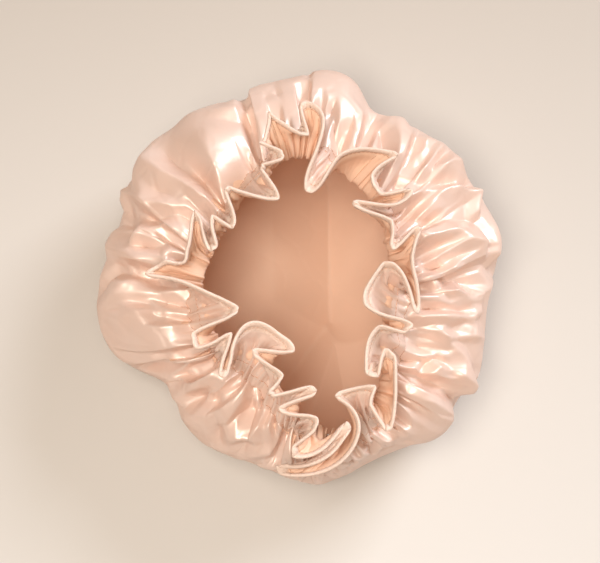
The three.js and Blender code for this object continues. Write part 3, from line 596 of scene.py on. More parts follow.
# Springs of the cloth: points skipped, strength, and the shares of their length below which they
# push, in the frill and on the body
SPRINGS = [
    (1, 0.9, 1, 1), (2, 0.25, 0.86, 0.98), (4, 0.15, 0.6, 0.91), (7, 0.1, 0.35, 0.78),
    (11, 0.06, 0.1, 0.58),
]
DIAGONAL_STRENGTH = 0.3


def fan_folds(radii, theta, root):
    """Folds that fan out down the body from each gather, as waves with their local lengths."""
    local = np.random.default_rng(11)
    order = np.argsort(root % TURN)
    gathers = np.array(GATHER_SHARES) * TURN
    flat_angles = np.interp(gathers, (root % TURN)[order], (theta % TURN)[order], period=TURN)
    wave = np.zeros((len(radii), len(theta)))
    total = np.zeros_like(wave)
    wide = np.zeros_like(wave)
    for flat_angle in flat_angles:
        across = off_angle(theta, flat_angle)[None, :] * (radii[:, None] + CASING_FOOT) / 2
        down = np.maximum(CASING_FOOT + 4 - radii, 0)[:, None]
        reach = np.hypot(across, down) + 4
        ways = np.arctan2(across, down + 2)
        folds = local.uniform(*FAN_FOLDS)
        bend = local.uniform(-0.6, 0.6)
        sway = bend * np.sin(reach / FAN_SWAY_LENGTH + local.uniform(0, TURN)) * FAN_SWAY
        phase = folds * (ways + sway) + local.uniform(0, TURN)
        phase += local.uniform(0.4, 0.9) * np.sin(2.1 * phase + reach / 15)
        weight = reach**-FAN_FALL
        wave += weight * np.arcsin(FAN_SHARPNESS * np.sin(phase)) / FAN_CREST
        wide += weight * np.clip(reach * TURN / folds, *FAN_WIDTHS)
        total += weight
    return wave / total, wide / total


def swells(angles, radii):
    """Height of the body's swells between its gathers, which the solids have too."""
    return SWELL_HEIGHT * swell_share(angles) * by_radius(SWELLING, radii)[:, None]


def crumples(radii, theta, count, ridge, stretch, seed):
    """Sharp ridges between flat facets, as satin keeps from being packed, between 0 and 1."""
    local = np.random.default_rng(seed)
    seed_radius = np.sqrt(local.uniform(CRUMPLE_RADII[0] ** 2, CRUMPLE_RADII[1] ** 2, count))
    seed_angle = local.uniform(0, TURN, count)
    least = np.full((len(radii), len(theta)), 1e9)
    second = least.copy()
    for radius, angle in zip(seed_radius, seed_angle):
        across = off_angle(theta, angle)[None, :] * (radii[:, None] + radius) / 2
        down = (radii - radius)[:, None] / stretch
        reach = np.hypot(across, down)
        second = np.minimum(second, np.maximum(reach, least))
        least = np.minimum(least, reach)
    return np.clip(1 - (second - least) / ridge, 0, 1)


def facets(radii, theta, wide, tall, seed):
    """Heights, -1 to 1, of a sheet made of flat facets in cells this wide and tall in mm."""
    local = np.random.default_rng(seed)
    around = round(TURN * FACET_RADIUS / wide)
    heights = local.uniform(-1, 1, (FACET_ROWS, around))
    sway = 0.35 * np.sin(radii[:, None] / 17 + wander(theta, 12, 1.5, seed)[None, :])
    across = theta[None, :] / TURN * around + sway
    down = radii[:, None] / tall + wander(theta, 9, 0.4, seed + 1)[None, :]
    i, j = np.floor(across).astype(int), np.floor(down).astype(int)
    u, v = across - i, down - j
    j0, j1, i0, i1 = j % FACET_ROWS, (j + 1) % FACET_ROWS, i % around, (i + 1) % around
    first, right = heights[j0, i0], heights[j0, i1]
    below, opposite = heights[j1, i0], heights[j1, i1]
    by_right = first + u * (right - first) + v * (opposite - right)
    by_below = first + v * (below - first) + u * (opposite - below)
    return np.where(u > v, by_right, by_below)


def shifted(values, rows, columns):
    """A closed band of rows moved by so many rows and columns, its first and last rows repeated."""
    moved = np.roll(values, columns, axis=1)
    if rows > 0:
        return np.concatenate([np.repeat(moved[:1], rows, axis=0), moved[:-rows]])
    if rows < 0:
        return np.concatenate([moved[-rows:], np.repeat(moved[-1:], -rows, axis=0)])
    return moved


def creased(grid, alike, passes, share):
    """The cloth with its bends drawn into creases between flatter facets, as satin keeps them."""
    right = np.roll(grid, -1, axis=1)
    faces = unit(np.cross(grid[1:] - right[:-1], right[1:] - grid[:-1]))
    for _ in range(passes):
        total = faces.copy()
        for rows, columns in NEIGHBOURS:
            other = shifted(faces, rows, columns)
            off = np.sum((other - faces) ** 2, axis=2, keepdims=True)
            total += np.exp(-off / (2 * alike[1:, :, None] ** 2)) * other
        faces = unit(total)
    for _ in range(CREASING_PASSES):
        right = np.roll(grid, -1, axis=1)
        centre = (grid[:-1] + grid[1:] + right[:-1] + right[1:]) / 4
        move = np.zeros_like(grid)
        for rows, columns in ((0, 0), (0, 1), (1, 0), (1, 1)):
            normal = np.roll(faces, columns, axis=1)
            middle = np.roll(centre, columns, axis=1)
            points = grid[1 - rows : len(grid) - rows]
            pull = np.sum(normal * (middle - points), axis=2, keepdims=True) * normal
            move[1 - rows : len(grid) - rows] += pull / 4
        grid = grid + share[:, None, None] * move
    return grid


# Long folds of the body that the photo shows: height (a valley's is below 0), width to one side,
# and the places along it
FOLDS = [
    (6, 14, [(-94, 68, 81), (-72, 51, 96), (-50, 34, 100)]),
    (-4, 12, [(-85, 74, 84), (-68, 55, 97), (-45, 42, 101)]),
    (-4, 10, [(-49, 92, 91), (-31, 89, 97), (-24, 82, 100)]),
    (5, 14, [(-54, 78, 95), (-51, 61, 100), (-45, 47, 101)]),
    (4, 10, [(-69, 97, 74), (-48, 95, 89), (-30, 98, 93)]),
    (5, 8, [(-94, 40, 88), (-80, 37, 95), (-69, 33, 98)]),
    (-4, 8, [(-90, 29, 91), (-67, 30, 98)]),
    (4, 7, [(-99, 19, 87), (-94, 25, 89), (-77, 22, 96), (-68, 15, 97)]),
    (-6, 9, [(-95, 12, 89), (-79, 11, 95)]),
    (4, 12, [(-116, 28, 69), (-106, 13, 80), (-91, 4, 90)]),
    (-6, 10, [(-89, 0, 91), (-83, -8, 93)]),
    (4, 6, [(-77, 7, 95), (-76, -3, 94), (-72, -9, 94)]),
    (-3, 10, [(-112, 43, 71), (-105, 23, 82)]),
    (-5, 8, [(-119, -7, 67), (-109, 2, 75), (-88, -5, 92)]),
    (4, 9, [(-111, 54, 66), (-118, 0, 65)]),
    (-5, 8, [(-109, -22, 79), (-92, -23, 90), (-83, -30, 92)]),
    (4, 10, [(-118, -25, 66), (-94, -26, 88), (-72, -36, 93)]),
    (3, 12, [(-117, -36, 62), (-104, -53, 55)]),
    (-6, 9, [(-100, -55, 55), (-75, -63, 74), (-50, -57, 94)]),
    (4, 8, [(-73, -72, 64), (-49, -63, 93)]),
    (-4, 8, [(-67, -81, 67), (-48, -70, 92)]),
    (4, 10, [(-48, -76, 89), (-33, -66, 94), (-22, -77, 93)]),
    (-5, 8, [(-46, -80, 88), (-45, -100, 69)]),
    (4, 8, [(-38, -94, 80), (-23, -97, 86), (-15, -88, 92)]),
    (-4, 8, [(-35, -85, 89), (-18, -84, 92)]),
    (-4, 10, [(-35, -101, 73), (-9, -101, 89)]),
    (4, 10, [(-65, -83, 69), (-61, -98, 48)]),
    (3, 10, [(-39, -106, 58), (-18, -109, 72)]),
    (-5, 8, [(48, -99, 85), (58, -85, 89)]),
    (4, 9, [(59, -83, 89), (57, -101, 73)]),
    (5, 8, [(80, -60, 89), (91, -62, 81), (104, -70, 58)]),
    (-6, 7, [(72, -62, 91), (81, -56, 89), (91, -62, 81)]),
    (4, 10, [(83, -41, 91), (97, -53, 79), (103, -68, 63)]),
    (-4, 6, [(64, -40, 95), (82, -44, 91)]),
    (-4, 6, [(63, -47, 94), (87, -49, 88)]),
    (5, 8, [(67, -33, 96), (89, -30, 90), (109, -22, 70)]),
    (-6, 6, [(71, -26, 97), (86, -27, 92), (101, -24, 81)]),
    (-5, 6, [(72, -12, 98), (89, -18, 91)]),
    (4, 8, [(77, -14, 97), (93, -18, 88), (108, -15, 73)]),
    (-5, 7, [(63, 2, 98), (83, -5, 96), (103, -9, 82)]),
    (4, 7, [(63, -2, 98), (75, -8, 98), (98, -13, 86)]),
    (-5, 10, [(64, 25, 98), (82, 26, 96), (107, 32, 82)]),
    (5, 12, [(61, 39, 98), (85, 49, 92), (107, 51, 79)]),
    (5, 8, [(110, 54, 74), (109, 35, 80)]),
    (-5, 9, [(59, 48, 97), (85, 54, 91), (107, 56, 76)]),
    (5, 10, [(63, 51, 97), (78, 59, 92), (98, 69, 76)]),
    (-5, 8, [(51, 86, 91), (50, 70, 96)]),
    (6, 12, [(62, 94, 81), (58, 66, 95)]),
    (-4, 8, [(73, 78, 85), (67, 60, 95)]),
    (4, 10, [(72, 15, 98), (97, 17, 90), (108, 15, 83)]),
    (-5, 8, [(111, 32, 78), (114, 14, 77)]),
    (4, 7, [(119, 33, 65), (118, 9, 69)]),
    (-4, 8, [(30, 85, 97), (34, 76, 98)]),
    (5, 12, [(12, 122, 84), (27, 101, 94), (37, 98, 90)]),
    (-4, 8, [(19, 95, 97), (21, 71, 98)]),
    (4, 9, [(-6, 114, 88), (8, 122, 84)]),
    (-4, 8, [(-24, 102, 92), (-13, 109, 90)]),
    (4, 9, [(-38, 107, 84), (-23, 110, 87)]),
    (-4, 8, [(41, 98, 88), (43, 79, 96)]),
]


def long_folds(points):
    """How far the body rises in its long folds, each with a crisp crest."""
    flat = points.reshape(-1, 3)
    rise = np.zeros(len(flat))
    for height, wide, line in FOLDS:
        line = np.array(line, float)
        off = np.full(len(flat), 1e9)
        for start, end in zip(line[:-1], line[1:]):
            way = end - start
            t = np.clip(((flat - start) @ way) / (way @ way), 0, 1)
            off = np.minimum(off, np.linalg.norm(flat - start - t[:, None] * way, axis=1))
        rise += height * np.maximum(0, 1 - off / wide / 0.85) ** 1.3
    return rise.reshape(points.shape[:2])


def calm(angles):
    """Where the body hangs smooth at the front, from 0 there to 1 away from it."""
    return smooth_step(0.22, 0.5, np.abs(off_angle(angles, CALM_ANGLE)))


def first_folds(grid, radii, theta, root, angles):
    """The cloth pushed in and out so that it takes up its gathers."""
    normals = outward(grid)
    path = np.linalg.norm(np.roll(grid, -1, axis=1) - grid, axis=2)
    path = np.stack([evened(row, 6) for row in path])
    gather = np.maximum((radii * TURN / COLUMNS)[:, None] / path, 1)
    depth = wave_depth(gather)
    wave, wide = fan_folds(radii, theta, root)
    fan_share = in_span(radii, FAN_SPAN)[:, None]
    moved = FAN_DEPTH * fan_share * wave * depth * (wide / gather) / TURN
    moved += swells(angles, radii)
    crumple_share = in_span(radii, CRUMPLE_SPAN)[:, None]
    moved += CRUMPLE_HEIGHT * crumple_share * crumples(radii, theta, *FIRST_CRUMPLES)
    quiet = smooth_step(212, 202, radii)[:, None]
    moved *= 1 - quiet * (1 - calm(angles))
    gather_share = in_span(radii, GATHER_SPAN)[:, None]
    phase = GATHER_FOLDS * theta + wander(theta, 40, 1.6, GATHER_FOLDS)
    size = np.clip(0.8 + wander(theta, 30, 0.6, 5), 0, 1.6) * path * COLUMNS / GATHER_FOLDS / TURN
    moved += gather_share * np.sin(phase + 0.5 * np.sin(phase)) * size * depth
    across = radii - (CASING_TOP + CASING_FOOT) / 2
    casing = np.exp(-((across / CASING_REACH) ** 2))[:, None]
    moved = np.clip(moved, *PUSHED)
    lift = np.clip(moved.max(axis=1), 0, CASING_LIFT)[:, None]
    moved = moved * (1 - 0.5 * casing) + casing * lift
    return grid + normals * moved[..., None]


def near_pairs(points, reach):
    """Pairs of points nearer than reach, each pair once."""
    cells = np.floor(points / reach).astype(np.int64) + CELLS // 4
    keys = (cells[:, 0] * CELLS + cells[:, 1]) * CELLS + cells[:, 2]
    order = np.argsort(keys, kind="stable")
    ranked = keys[order]
    found = []
    steps = [(x, y, z) for x in (-1, 0, 1) for y in (-1, 0, 1) for z in (-1, 0, 1)]
    for x, y, z in steps[13:]:
        goal = keys + (x * CELLS + y) * CELLS + z
        low = np.searchsorted(ranked, goal, "left")
        high = np.searchsorted(ranked, goal, "right")
        for k in range(int((high - low).max())):
            first = np.nonzero(low + k < high)[0]
            second = order[low[first] + k]
            if (x, y, z) == (0, 0, 0):
                keep = first < second
                first, second = first[keep], second[keep]
            found.append(np.stack([first, second]))
    pairs = np.concatenate(found, axis=1)
    near = np.linalg.norm(points[pairs[0]] - points[pairs[1]], axis=1) < reach
    return pairs[:, near]


def pulled(between, goal, strength, push_only=False):
    """How far springs between points move their ends to come nearer to their goal lengths."""
    length = np.linalg.norm(between, axis=-1)
    error = length - goal
    if push_only:
        error = np.minimum(error, 0)
    return (0.5 * strength * error / np.maximum(length, 1e-6))[..., None] * between


def pushed_apart(grid, pairs, reach):
    """Points moved apart where pairs of them lie nearer than reach."""
    flat = grid.reshape(-1, 3)
    push = -pulled(flat[pairs[0]] - flat[pairs[1]], reach, 0.5, True)
    moved = np.empty_like(flat)
    for axis in range(3):
        first = np.bincount(pairs[0], push[:, axis], len(flat))
        moved[:, axis] = first - np.bincount(pairs[1], push[:, axis], len(flat))
    return grid + moved.reshape(grid.shape)


def relaxed(grid, radii, hold, passes, apart, ease):
    """The cloth after its springs have brought it back to the lengths that it was cut to."""
    start = grid.copy()
    rows, columns = grid.shape[:2]
    around = ease * (radii * TURN / columns)[:, None]
    slack = 1 + DOWN_SLACK * in_span(radii, SLACK_SPAN)
    gaps = -np.diff(radii) * slack[1:]
    diagonal = np.sqrt(((around[1:] + around[:-1]) / 2) ** 2 + gaps[:, None] ** 2)
    movable = np.where(radii < CROWN_CUT + 4, 0, 1)[:, None, None]
    flat_radius = np.repeat(radii, columns)
    flat_angle = np.tile(np.arange(columns) * TURN / columns, rows)
    cut = np.stack([flat_radius * np.cos(flat_angle), flat_radius * np.sin(flat_angle)], axis=1)
    loose = int((radii > LOOSE_FROM).sum())
    strengths = 4 * (sum(spring[1] for spring in SPRINGS) + DIAGONAL_STRENGTH)
    body_share = smooth_step(222, 200, radii)
    for step in range(passes):
        move = np.zeros_like(grid)
        for skip, strength, in_frill, on_body in SPRINGS:
            limit = in_frill + (on_body - in_frill) * body_share
            goal = (limit * skip)[:, None] * around
            push = pulled(np.roll(grid, -skip, axis=1) - grid, goal, strength, skip > 1)
            move += push - np.roll(push, skip, axis=1)
            goal = ((limit * slack)[skip:] * (radii[:-skip] - radii[skip:]))[:, None]
            push = pulled(grid[skip:] - grid[:-skip], goal, strength, skip > 1)
            move[:-skip] += push
            move[skip:] -= push
        for shift in (1, -1):
            between = np.roll(grid[1:], -shift, axis=1) - grid[:-1]
            push = pulled(between, diagonal, DIAGONAL_STRENGTH)
            move[:-1] += push
            move[1:] -= np.roll(push, shift, axis=1)
        grid = grid + movable * move * (MOVE_SHARE / strengths)
        grid = grid + movable * hold[:, None, None] * (start - grid)
        if step % SEARCH_EVERY == 0:
            pairs = near_pairs(grid[:loose].reshape(-1, 3), apart * SEARCH_SHARE)
            keep = np.linalg.norm(cut[pairs[0]] - cut[pairs[1]], axis=1) > CUT_SHARE * apart
            pairs = pairs[:, keep]
        grid[:loose] = pushed_apart(grid[:loose], pairs, apart)
        grid[..., 2] = np.maximum(grid[..., 2], CLOTH_FLOOR)
    return grid


# The two layers of cloth, and what they hold
HALF_GAP = 0.35  # from the middle between the layers to each layer
ELASTIC_WIDTH = 6.0
ELASTIC_THICKNESS = 0.8
ELASTIC_RIBS = 4
ELASTIC_COLUMNS = 900
CASING_ROOM = 0.9  # from the middle of the elastic to either layer
JOIN_ROOM = 1.2  # more of it where the elastic's ends overlap
JOIN_ANGLE = math.radians(20)  # where they overlap, from the right
JOIN_LENGTH = 14.0
TACK_STEP, TACK_REACH, TACK_STROKES = 1.3, 3.6, 6  # zigzag that holds the two ends
TACK_RISE, TACK_CLEAR = 0.1, 0.12  # how far the zigzag bulges and stands off the elastic
SECTION_POINTS = 17  # across one side of the elastic
RIB_DEPTH = 0.2  # of its thickness
END_GAP = 0.02  # between the elastic's two ends where they overlap
LINING_FOLD_SHARE = 0.5  # of the satin's gathers, how deep the lining's are at the casing
LINING_EDGE, LINING_START = 3.9, 4.4  # distances of the lining's edge and next row from the hem's
HEM_SEAM, UPPER_SEAM, LOWER_SEAM = CUT_RADIUS - HEM_INSET, CASING_TOP, CASING_FOOT
STITCH_LENGTH, STITCH_RISE, STITCH_DIP = 2.5, 0.22, 0.3
STITCH_PARTS, STITCH_SIDES = 6, 5
THREAD_RADIUS, THREAD_SINK = 0.24, 0.05

# Rolled hem: distances from the edge on the inside, over the edge and on the outside, and how far
# the satin stands off the middle of the cloth there
HEM_ROLL = [
    (4.3, -0.55), (3.4, -1.0), (2.3, -1.15), (1.2, -1.05), (0.35, -0.7), (0.0, 0.0),
    (0.35, 0.7), (1.2, 1.05), (2.3, 1.15), (3.4, 1.0), (4.3, 0.6),
]
HEM_TIP_RISE = 0.35
SEAM_PUFF = 0.6  # how far either layer swells beside the hem's stitches
PUFF_SPAN = (HEM_SEAM - 10, HEM_SEAM - 4, HEM_SEAM - 2.4, HEM_SEAM - 0.3)
PLAIN_FROM = (196, 130)  # radii between which the lining leaves the satin's folds for its own form
VALLEY_REACH, VALLEY_ROOM = 5, 1.5  # points round a valley of the satin, and its room in mm


def refined(rows, closed=False):
    """Rows with a row between every two, on a smooth curve."""
    if closed:
        before, after = np.roll(rows, 1, axis=0), np.roll(rows, -1, axis=0)
        kept = (before + 6 * rows + after) / 8
        between = (rows + after) / 2
        return np.stack([kept, between], axis=1).reshape(-1, *rows.shape[1:])
    kept = rows.copy()
    kept[1:-1] = (rows[:-2] + 6 * rows[1:-1] + rows[2:]) / 8
    between = (rows[:-1] + rows[1:]) / 2
    pairs = np.stack([kept[:-1], between], axis=1).reshape(-1, *rows.shape[1:])
    return np.concatenate([pairs, kept[-1:]])


def refined_grid(grid):
    """A closed band with twice as many rows and columns."""
    return refined(refined(grid).swapaxes(0, 1), True).swapaxes(0, 1)


def row_at(rows, radii, radius):
    """The row at a radius of the flat cut, between those of a grid."""
    place = np.interp(-radius, -radii, np.arange(len(radii)))
    i = min(int(place), len(radii) - 2)
    return rows[i] + (rows[i + 1] - rows[i]) * (place - i)


def join_share(angle):
    """How doubled the elastic is at an angle: 1 in the overlap of its ends and 0 away from it."""
    radius = around_table(ELASTIC_RADII, JOIN_ANGLE) * MOUTH_REACH
    past = np.abs(off_angle(angle, JOIN_ANGLE)) * radius - JOIN_LENGTH / 2
    return np.clip(1 - past / ELASTIC_WIDTH, 0, 1)


def ring_side(points):
    """How far points stand out from the middle surface of the casing, and which way that is."""
    about = points[..., :2] - MOUTH_CENTRE
    angle = np.arctan2(about[..., 1], about[..., 0])
    out = casing_frame(angle)[2]
    return ((points - elastic_point(angle)) * out).sum(axis=-1), out, angle


def lowest_near(values, reach):
    """The lowest value within this many rows and columns, evened out within that reach."""
    low = values
    for _ in range(reach):
        low = np.minimum(low, np.minimum(np.roll(low, 1, axis=1), np.roll(low, -1, axis=1)))
        low[1:-1] = np.minimum(low[1:-1], np.minimum(low[:-2], low[2:]))
    for _ in range(reach):
        low = (np.roll(low, 1, axis=1) + 2 * low + np.roll(low, -1, axis=1)) / 4
        low[1:-1] = (low[:-2] + 2 * low[1:-1] + low[2:]) / 4
    return low


def layers(cloth, radii, form):
    """Satin and lining: side by side in the frill, apart round the elastic and down the body."""
    depth, out, angle = ring_side(cloth)
    lift = np.maximum(CASING_ROOM - depth, 0) * in_span(radii, LIFT_SPAN)[:, None]
    cloth = cloth + lift[..., None] * out
    depth = depth + lift
    normals = outward(cloth)
    half = (HALF_GAP + SEAM_PUFF * in_span(radii, PUFF_SPAN))[:, None, None]
    satin = cloth + half * normals
    inner = cloth - half * normals
    under = CASING_ROOM + JOIN_ROOM * join_share(angle) + LINING_FOLD_SHARE * (depth - CASING_ROOM)
    mirrored = cloth - (depth + under)[..., None] * out
    inner = inner + (mirrored - inner) * in_span(radii, TUNNEL_SPAN)[:, None, None]
    away = outward(form)
    sunk = lowest_near(((cloth - form) * away).sum(axis=-1), VALLEY_REACH)
    plain = form + away * np.minimum(-LINING_SLACK, sunk - VALLEY_ROOM)[..., None]
    inner = inner + (plain - inner) * smooth_step(*PLAIN_FROM, radii)[:, None, None]
    return cloth, satin, inner


def linear(hex_colour):
    """An sRGB hex colour as the linear numbers that a shader takes."""
    values = [int(hex_colour[k : k + 2], 16) / 255 for k in (1, 3, 5)]
    straight = [v / 12.92 if v <= 0.04045 else ((v + 0.055) / 1.055) ** 2.4 for v in values]
    return (*straight, 1.0)


def add_node(tree, kind, settings=None, inputs=None, links=None):
    """A node with its settings, its input values, and links from other nodes' outputs."""
    node = tree.nodes.new(kind)
    for name, value in (settings or {}).items():
        setattr(node, name, value)
    for name, value in (inputs or {}).items():
        node.inputs[name].default_value = value
    for name, output in (links or {}).items():
        tree.links.new(output, node.inputs[name])
    return node


def new_material(name):
    """A material and its node tree, still empty."""
    material = bpy.data.materials.new(name)
    material.use_nodes = True
    material.node_tree.nodes.clear()
    return material, material.node_tree


def noise(tree, place, size, detail):
    """Soft noise whose patches are about this size in metres."""
    inputs = {"Scale": 1 / size, "Detail": detail}
    return add_node(tree, "ShaderNodeTexNoise", inputs=inputs, links={"Vector": place})


def fine_creases(tree, place, cell, depth, normal=None):
    """Bump of a net of fine creases, its cells this wide and its lines this deep in metres."""
    sway = noise(tree, place, cell / 0.6, 2.0)
    bent = add_node(
        tree, "ShaderNodeVectorMath", {"operation": "MULTIPLY_ADD"}, {1: (0.9 * cell,) * 3},
        {0: sway.outputs["Color"], 2: place},
    )
    net = add_node(
        tree, "ShaderNodeTexVoronoi", {"feature": "DISTANCE_TO_EDGE"}, {"Scale": 1 / cell},
        {"Vector": bent.outputs[0]},
    )
    line = add_node(
        tree, "ShaderNodeMapRange", {"interpolation_type": "SMOOTHSTEP"}, {"From Max": 0.16},
        {"Value": net.outputs[0]},
    )
    links = {"Height": line.outputs[0]}
    if normal is not None:
        links["Normal"] = normal
    inputs = {"Strength": 0.5, "Distance": depth}
    return add_node(tree, "ShaderNodeBump", inputs=inputs, links=links).outputs[0]


def weave(tree, place, size, depth):
    """Bump of the threads of a cloth, drawn at this size in metres."""
    grain = noise(tree, place, size, 1.0)
    inputs, links = {"Strength": 0.3, "Distance": depth}, {"Height": grain.outputs[0]}
    return add_node(tree, "ShaderNodeBump", inputs=inputs, links=links).outputs[0]


def two_tones(tree, place, tones, size, detail=2.0):
    """Two tones that drift into each other over about this size in metres."""
    drift = noise(tree, place, size, detail)
    mix = add_node(
        tree, "ShaderNodeMix", {"data_type": "RGBA"}, {6: linear(tones[0]), 7: linear(tones[1])},
        {0: drift.outputs[0]},
    )
    return mix.outputs[2]


def cloth_material(name, tones, drift_size, creases, grain, finish, through):
    """A thin cloth: two tones that drift into each other, creases, threads and a finish."""
    material, tree = new_material(name)
    place = add_node(tree, "ShaderNodeTexCoord").outputs["Object"]
    colour = two_tones(tree, place, tones, drift_size, 3.0)
    normal = fine_creases(tree, place, *creases, weave(tree, place, *grain))
    links = {"Base Color": colour, "Normal": normal}
    shader = add_node(tree, "ShaderNodeBsdfPrincipled", inputs=finish, links=links)
    glow = add_node(tree, "ShaderNodeBsdfTranslucent", inputs={"Color": linear(through[0])})
    mix = add_node(
        tree, "ShaderNodeMixShader", inputs={0: through[1]},
        links={1: shader.outputs[0], 2: glow.outputs[0]},
    )
    add_node(tree, "ShaderNodeOutputMaterial", links={"Surface": mix.outputs[0]})
    return material


def woven_satin():
    # Polyester satin: its long warp floats lie side by side and shine like a soft mirror, so every
    # facet is either near white or plain beige. Packing left a net of faint creases, 21 mm apart.
    # The threads are 0.1 mm wide and drawn at 0.9 mm, as anything finer is lost at this distance.
    return cloth_material(
        "woven_polyester_satin", ("#FBEBE0", "#F8DFCE"), 0.03, (0.021, 0.0005), (0.0009, 0.00004),
        {"Roughness": 0.4, "Metallic": 0.24, "Specular IOR Level": 0.8, "IOR": 1.5},
        ("#FDDAC0", 0.24),
    )


def stitched_hem():
    # The same satin folded over and stitched down along the edge: the needle pulls it into fine
    # puckers across, 2.4 mm apart, which scatter its shine, so the hem looks matt. Its two tones
    # are a shade darker than the satin's: painted shade that calms the bright lip where it faces
    # the lamps.
    return cloth_material(
        "stitched_hem_with_painted_shade", ("#F0DBCC", "#E9CFBD"), 0.006, (0.0024, 0.0004), (0.0009, 0.00008),
        {"Roughness": 0.62, "Metallic": 0.05, "Specular IOR Level": 0.4, "IOR": 1.5},
        ("#FDDAC0", 0.1),
    )


def coated_lining():
    # Thin polyester with a waterproof coat rolled onto it: smooth, nearly matt, and warm where the
    # light has gone through both layers or bounced about inside.
    return cloth_material(
        "coated_polyester_lining", ("#FBDCC3", "#F6D0B4"), 0.05, (0.02, 0.0002), (0.0012, 0.00003),
        {"Roughness": 0.6, "Specular IOR Level": 0.35, "IOR": 1.45}, ("#FDDCC2", 0.2),
    )


def matt_material(name, tones, size, roughness, bump, bump_sizes):
    """An opaque matt material: two tones that drift into each other, and a bump."""
    material, tree = new_material(name)
    place = add_node(tree, "ShaderNodeTexCoord").outputs["Object"]
    inputs = {"Roughness": roughness}
    links = {
        "Base Color": two_tones(tree, place, tones, size),
        "Normal": bump(tree, place, *bump_sizes),
    }
    shader = add_node(tree, "ShaderNodeBsdfPrincipled", inputs=inputs, links=links)
    add_node(tree, "ShaderNodeOutputMaterial", links={"Surface": shader.outputs[0]})
    return material


def spun_thread():
    # Two plies of spun polyester: matt, a shade darker than the satin, their twist as a bump.
    return matt_material(
        "spun_polyester_thread", ("#DDB499", "#CFA184"), 0.002, 0.7, weave, (0.0005, 0.00006)
    )


def knitted_elastic():
    # Warp-knitted elastic: white, matt, and ribbed along its length by rubber cores 1.5 mm apart.
    return matt_material(
        "knitted_elastic", ("#F6F2EC", "#EAE4DC"), 0.004, 0.85, fine_creases, (0.0015, 0.0003)
    )


def new_object(name, points, faces, material):
    """A smooth mesh from points in mm and blocks of faces with the same number of corners."""
    mesh = bpy.data.meshes.new(name)
    mesh.vertices.add(len(points))
    mesh.vertices.foreach_set("co", (np.asarray(points) * MM).astype(np.float32).ravel())
    sizes = np.array([len(face) for block in faces for face in block])
    corners = np.concatenate([np.asarray(block).ravel() for block in faces])
    mesh.loops.add(len(corners))
    mesh.loops.foreach_set("vertex_index", corners.astype(np.int32))
    mesh.polygons.add(len(sizes))
    starts = np.concatenate([[0], np.cumsum(sizes)[:-1]])
    mesh.polygons.foreach_set("loop_start", starts.astype(np.int32))
    mesh.update(calc_edges=True)
    mesh.validate()
    mesh.materials.append(material)
    mesh.shade_smooth()
    thing = bpy.data.objects.new(name, mesh)
    bpy.context.scene.collection.objects.link(thing)
    return thing


def band_faces(rows, columns, closed=True):
    """Four-cornered faces between rows of points. Each row is closed unless it says so."""
    last = columns if closed else columns - 1
    k = np.arange(last)
    n = (k + 1) % columns
    r = np.arange(rows - 1)[:, None] * columns
    return np.stack([r + k, r + columns + k, r + columns + n, r + n], axis=-1).reshape(-1, 4)


def cloth_object(name, rows, crown, material):
    """A round of cloth: its rows from the edge to the crown, and a middle point."""
    points = np.concatenate([np.stack(rows).reshape(-1, 3), np.stack(crown).reshape(-1, 3)])
    columns = rows[0].shape[0]
    count = len(points)
    k = np.arange(columns)
    last = count - columns
    fan = np.stack([last + k, np.full(columns, count), last + (k + 1) % columns], axis=-1)
    middle = crown[-1].mean(axis=0)[None]
    faces = [band_faces(count // columns, columns), fan]
    return new_object(name, np.concatenate([points, middle]), faces, material)


def threads(starts, ends, ups, height):
    """Stitches as short rounded tubes, each from its start to its end and risen in its middle."""
    parts, sides, count = STITCH_PARTS, STITCH_SIDES, len(starts)
    t = np.linspace(0, 1, parts)[None, :, None]
    rise = height * (np.sin(math.pi * t) - STITCH_DIP)
    centre = starts[:, None] + (ends - starts)[:, None] * t + ups[:, None] * rise
    across = unit(np.cross(ends - starts, ups))[:, None, None]
    thick = (THREAD_RADIUS * np.sin(math.pi * np.clip(t, 0.1, 0.9)) ** 0.4)[..., None]
    angle = (np.arange(sides) / sides * TURN)[None, None, :, None]
    round_it = np.cos(angle) * across + np.sin(angle) * ups[:, None, None]
    ring = centre[:, :, None] + thick * round_it
    one = band_faces(parts, sides)
    caps = np.array([list(range(sides))[::-1], [(parts - 1) * sides + k for k in range(sides)]])
    base = (np.arange(count) * parts * sides)[:, None, None]
    return ring.reshape(-1, 3), [(base + one).reshape(-1, 4), (base + caps).reshape(-1, sides)]


def stitches(line, normals, length, height):
    """A row of stitches along a closed line on the cloth."""
    steps = np.linalg.norm(np.roll(line, -1, axis=0) - line, axis=1)
    walked = np.concatenate([[0], np.cumsum(steps)])
    count = round(walked[-1] / length)

    def along(values, share):
        """Values this share of the way along each stitch."""
        goal = (np.arange(count) + share) / count * walked[-1]
        closed = np.vstack([values, values[:1]])
        return np.stack([np.interp(goal, walked, column) for column in closed.T], axis=1)

    return threads(along(line, 0.06), along(line, 0.94), unit(along(normals, 0.5)), height)


# Creases of the slack lining over the crown, as lines from and to, with their depths
CREASES = [
    ((19, 75), (20, -18), 16.0), ((20, -18), (-22, -75), 14.0), ((20, -18), (30, -75), 9.0),
]
CREASE_REACH = 38
LINING_RISE = 17  # how far the lining rises off the crown beside its creases
RISE_RADII, RISE_HEIGHTS = (112, 66), (45, 12)  # between these it begins and comes in full


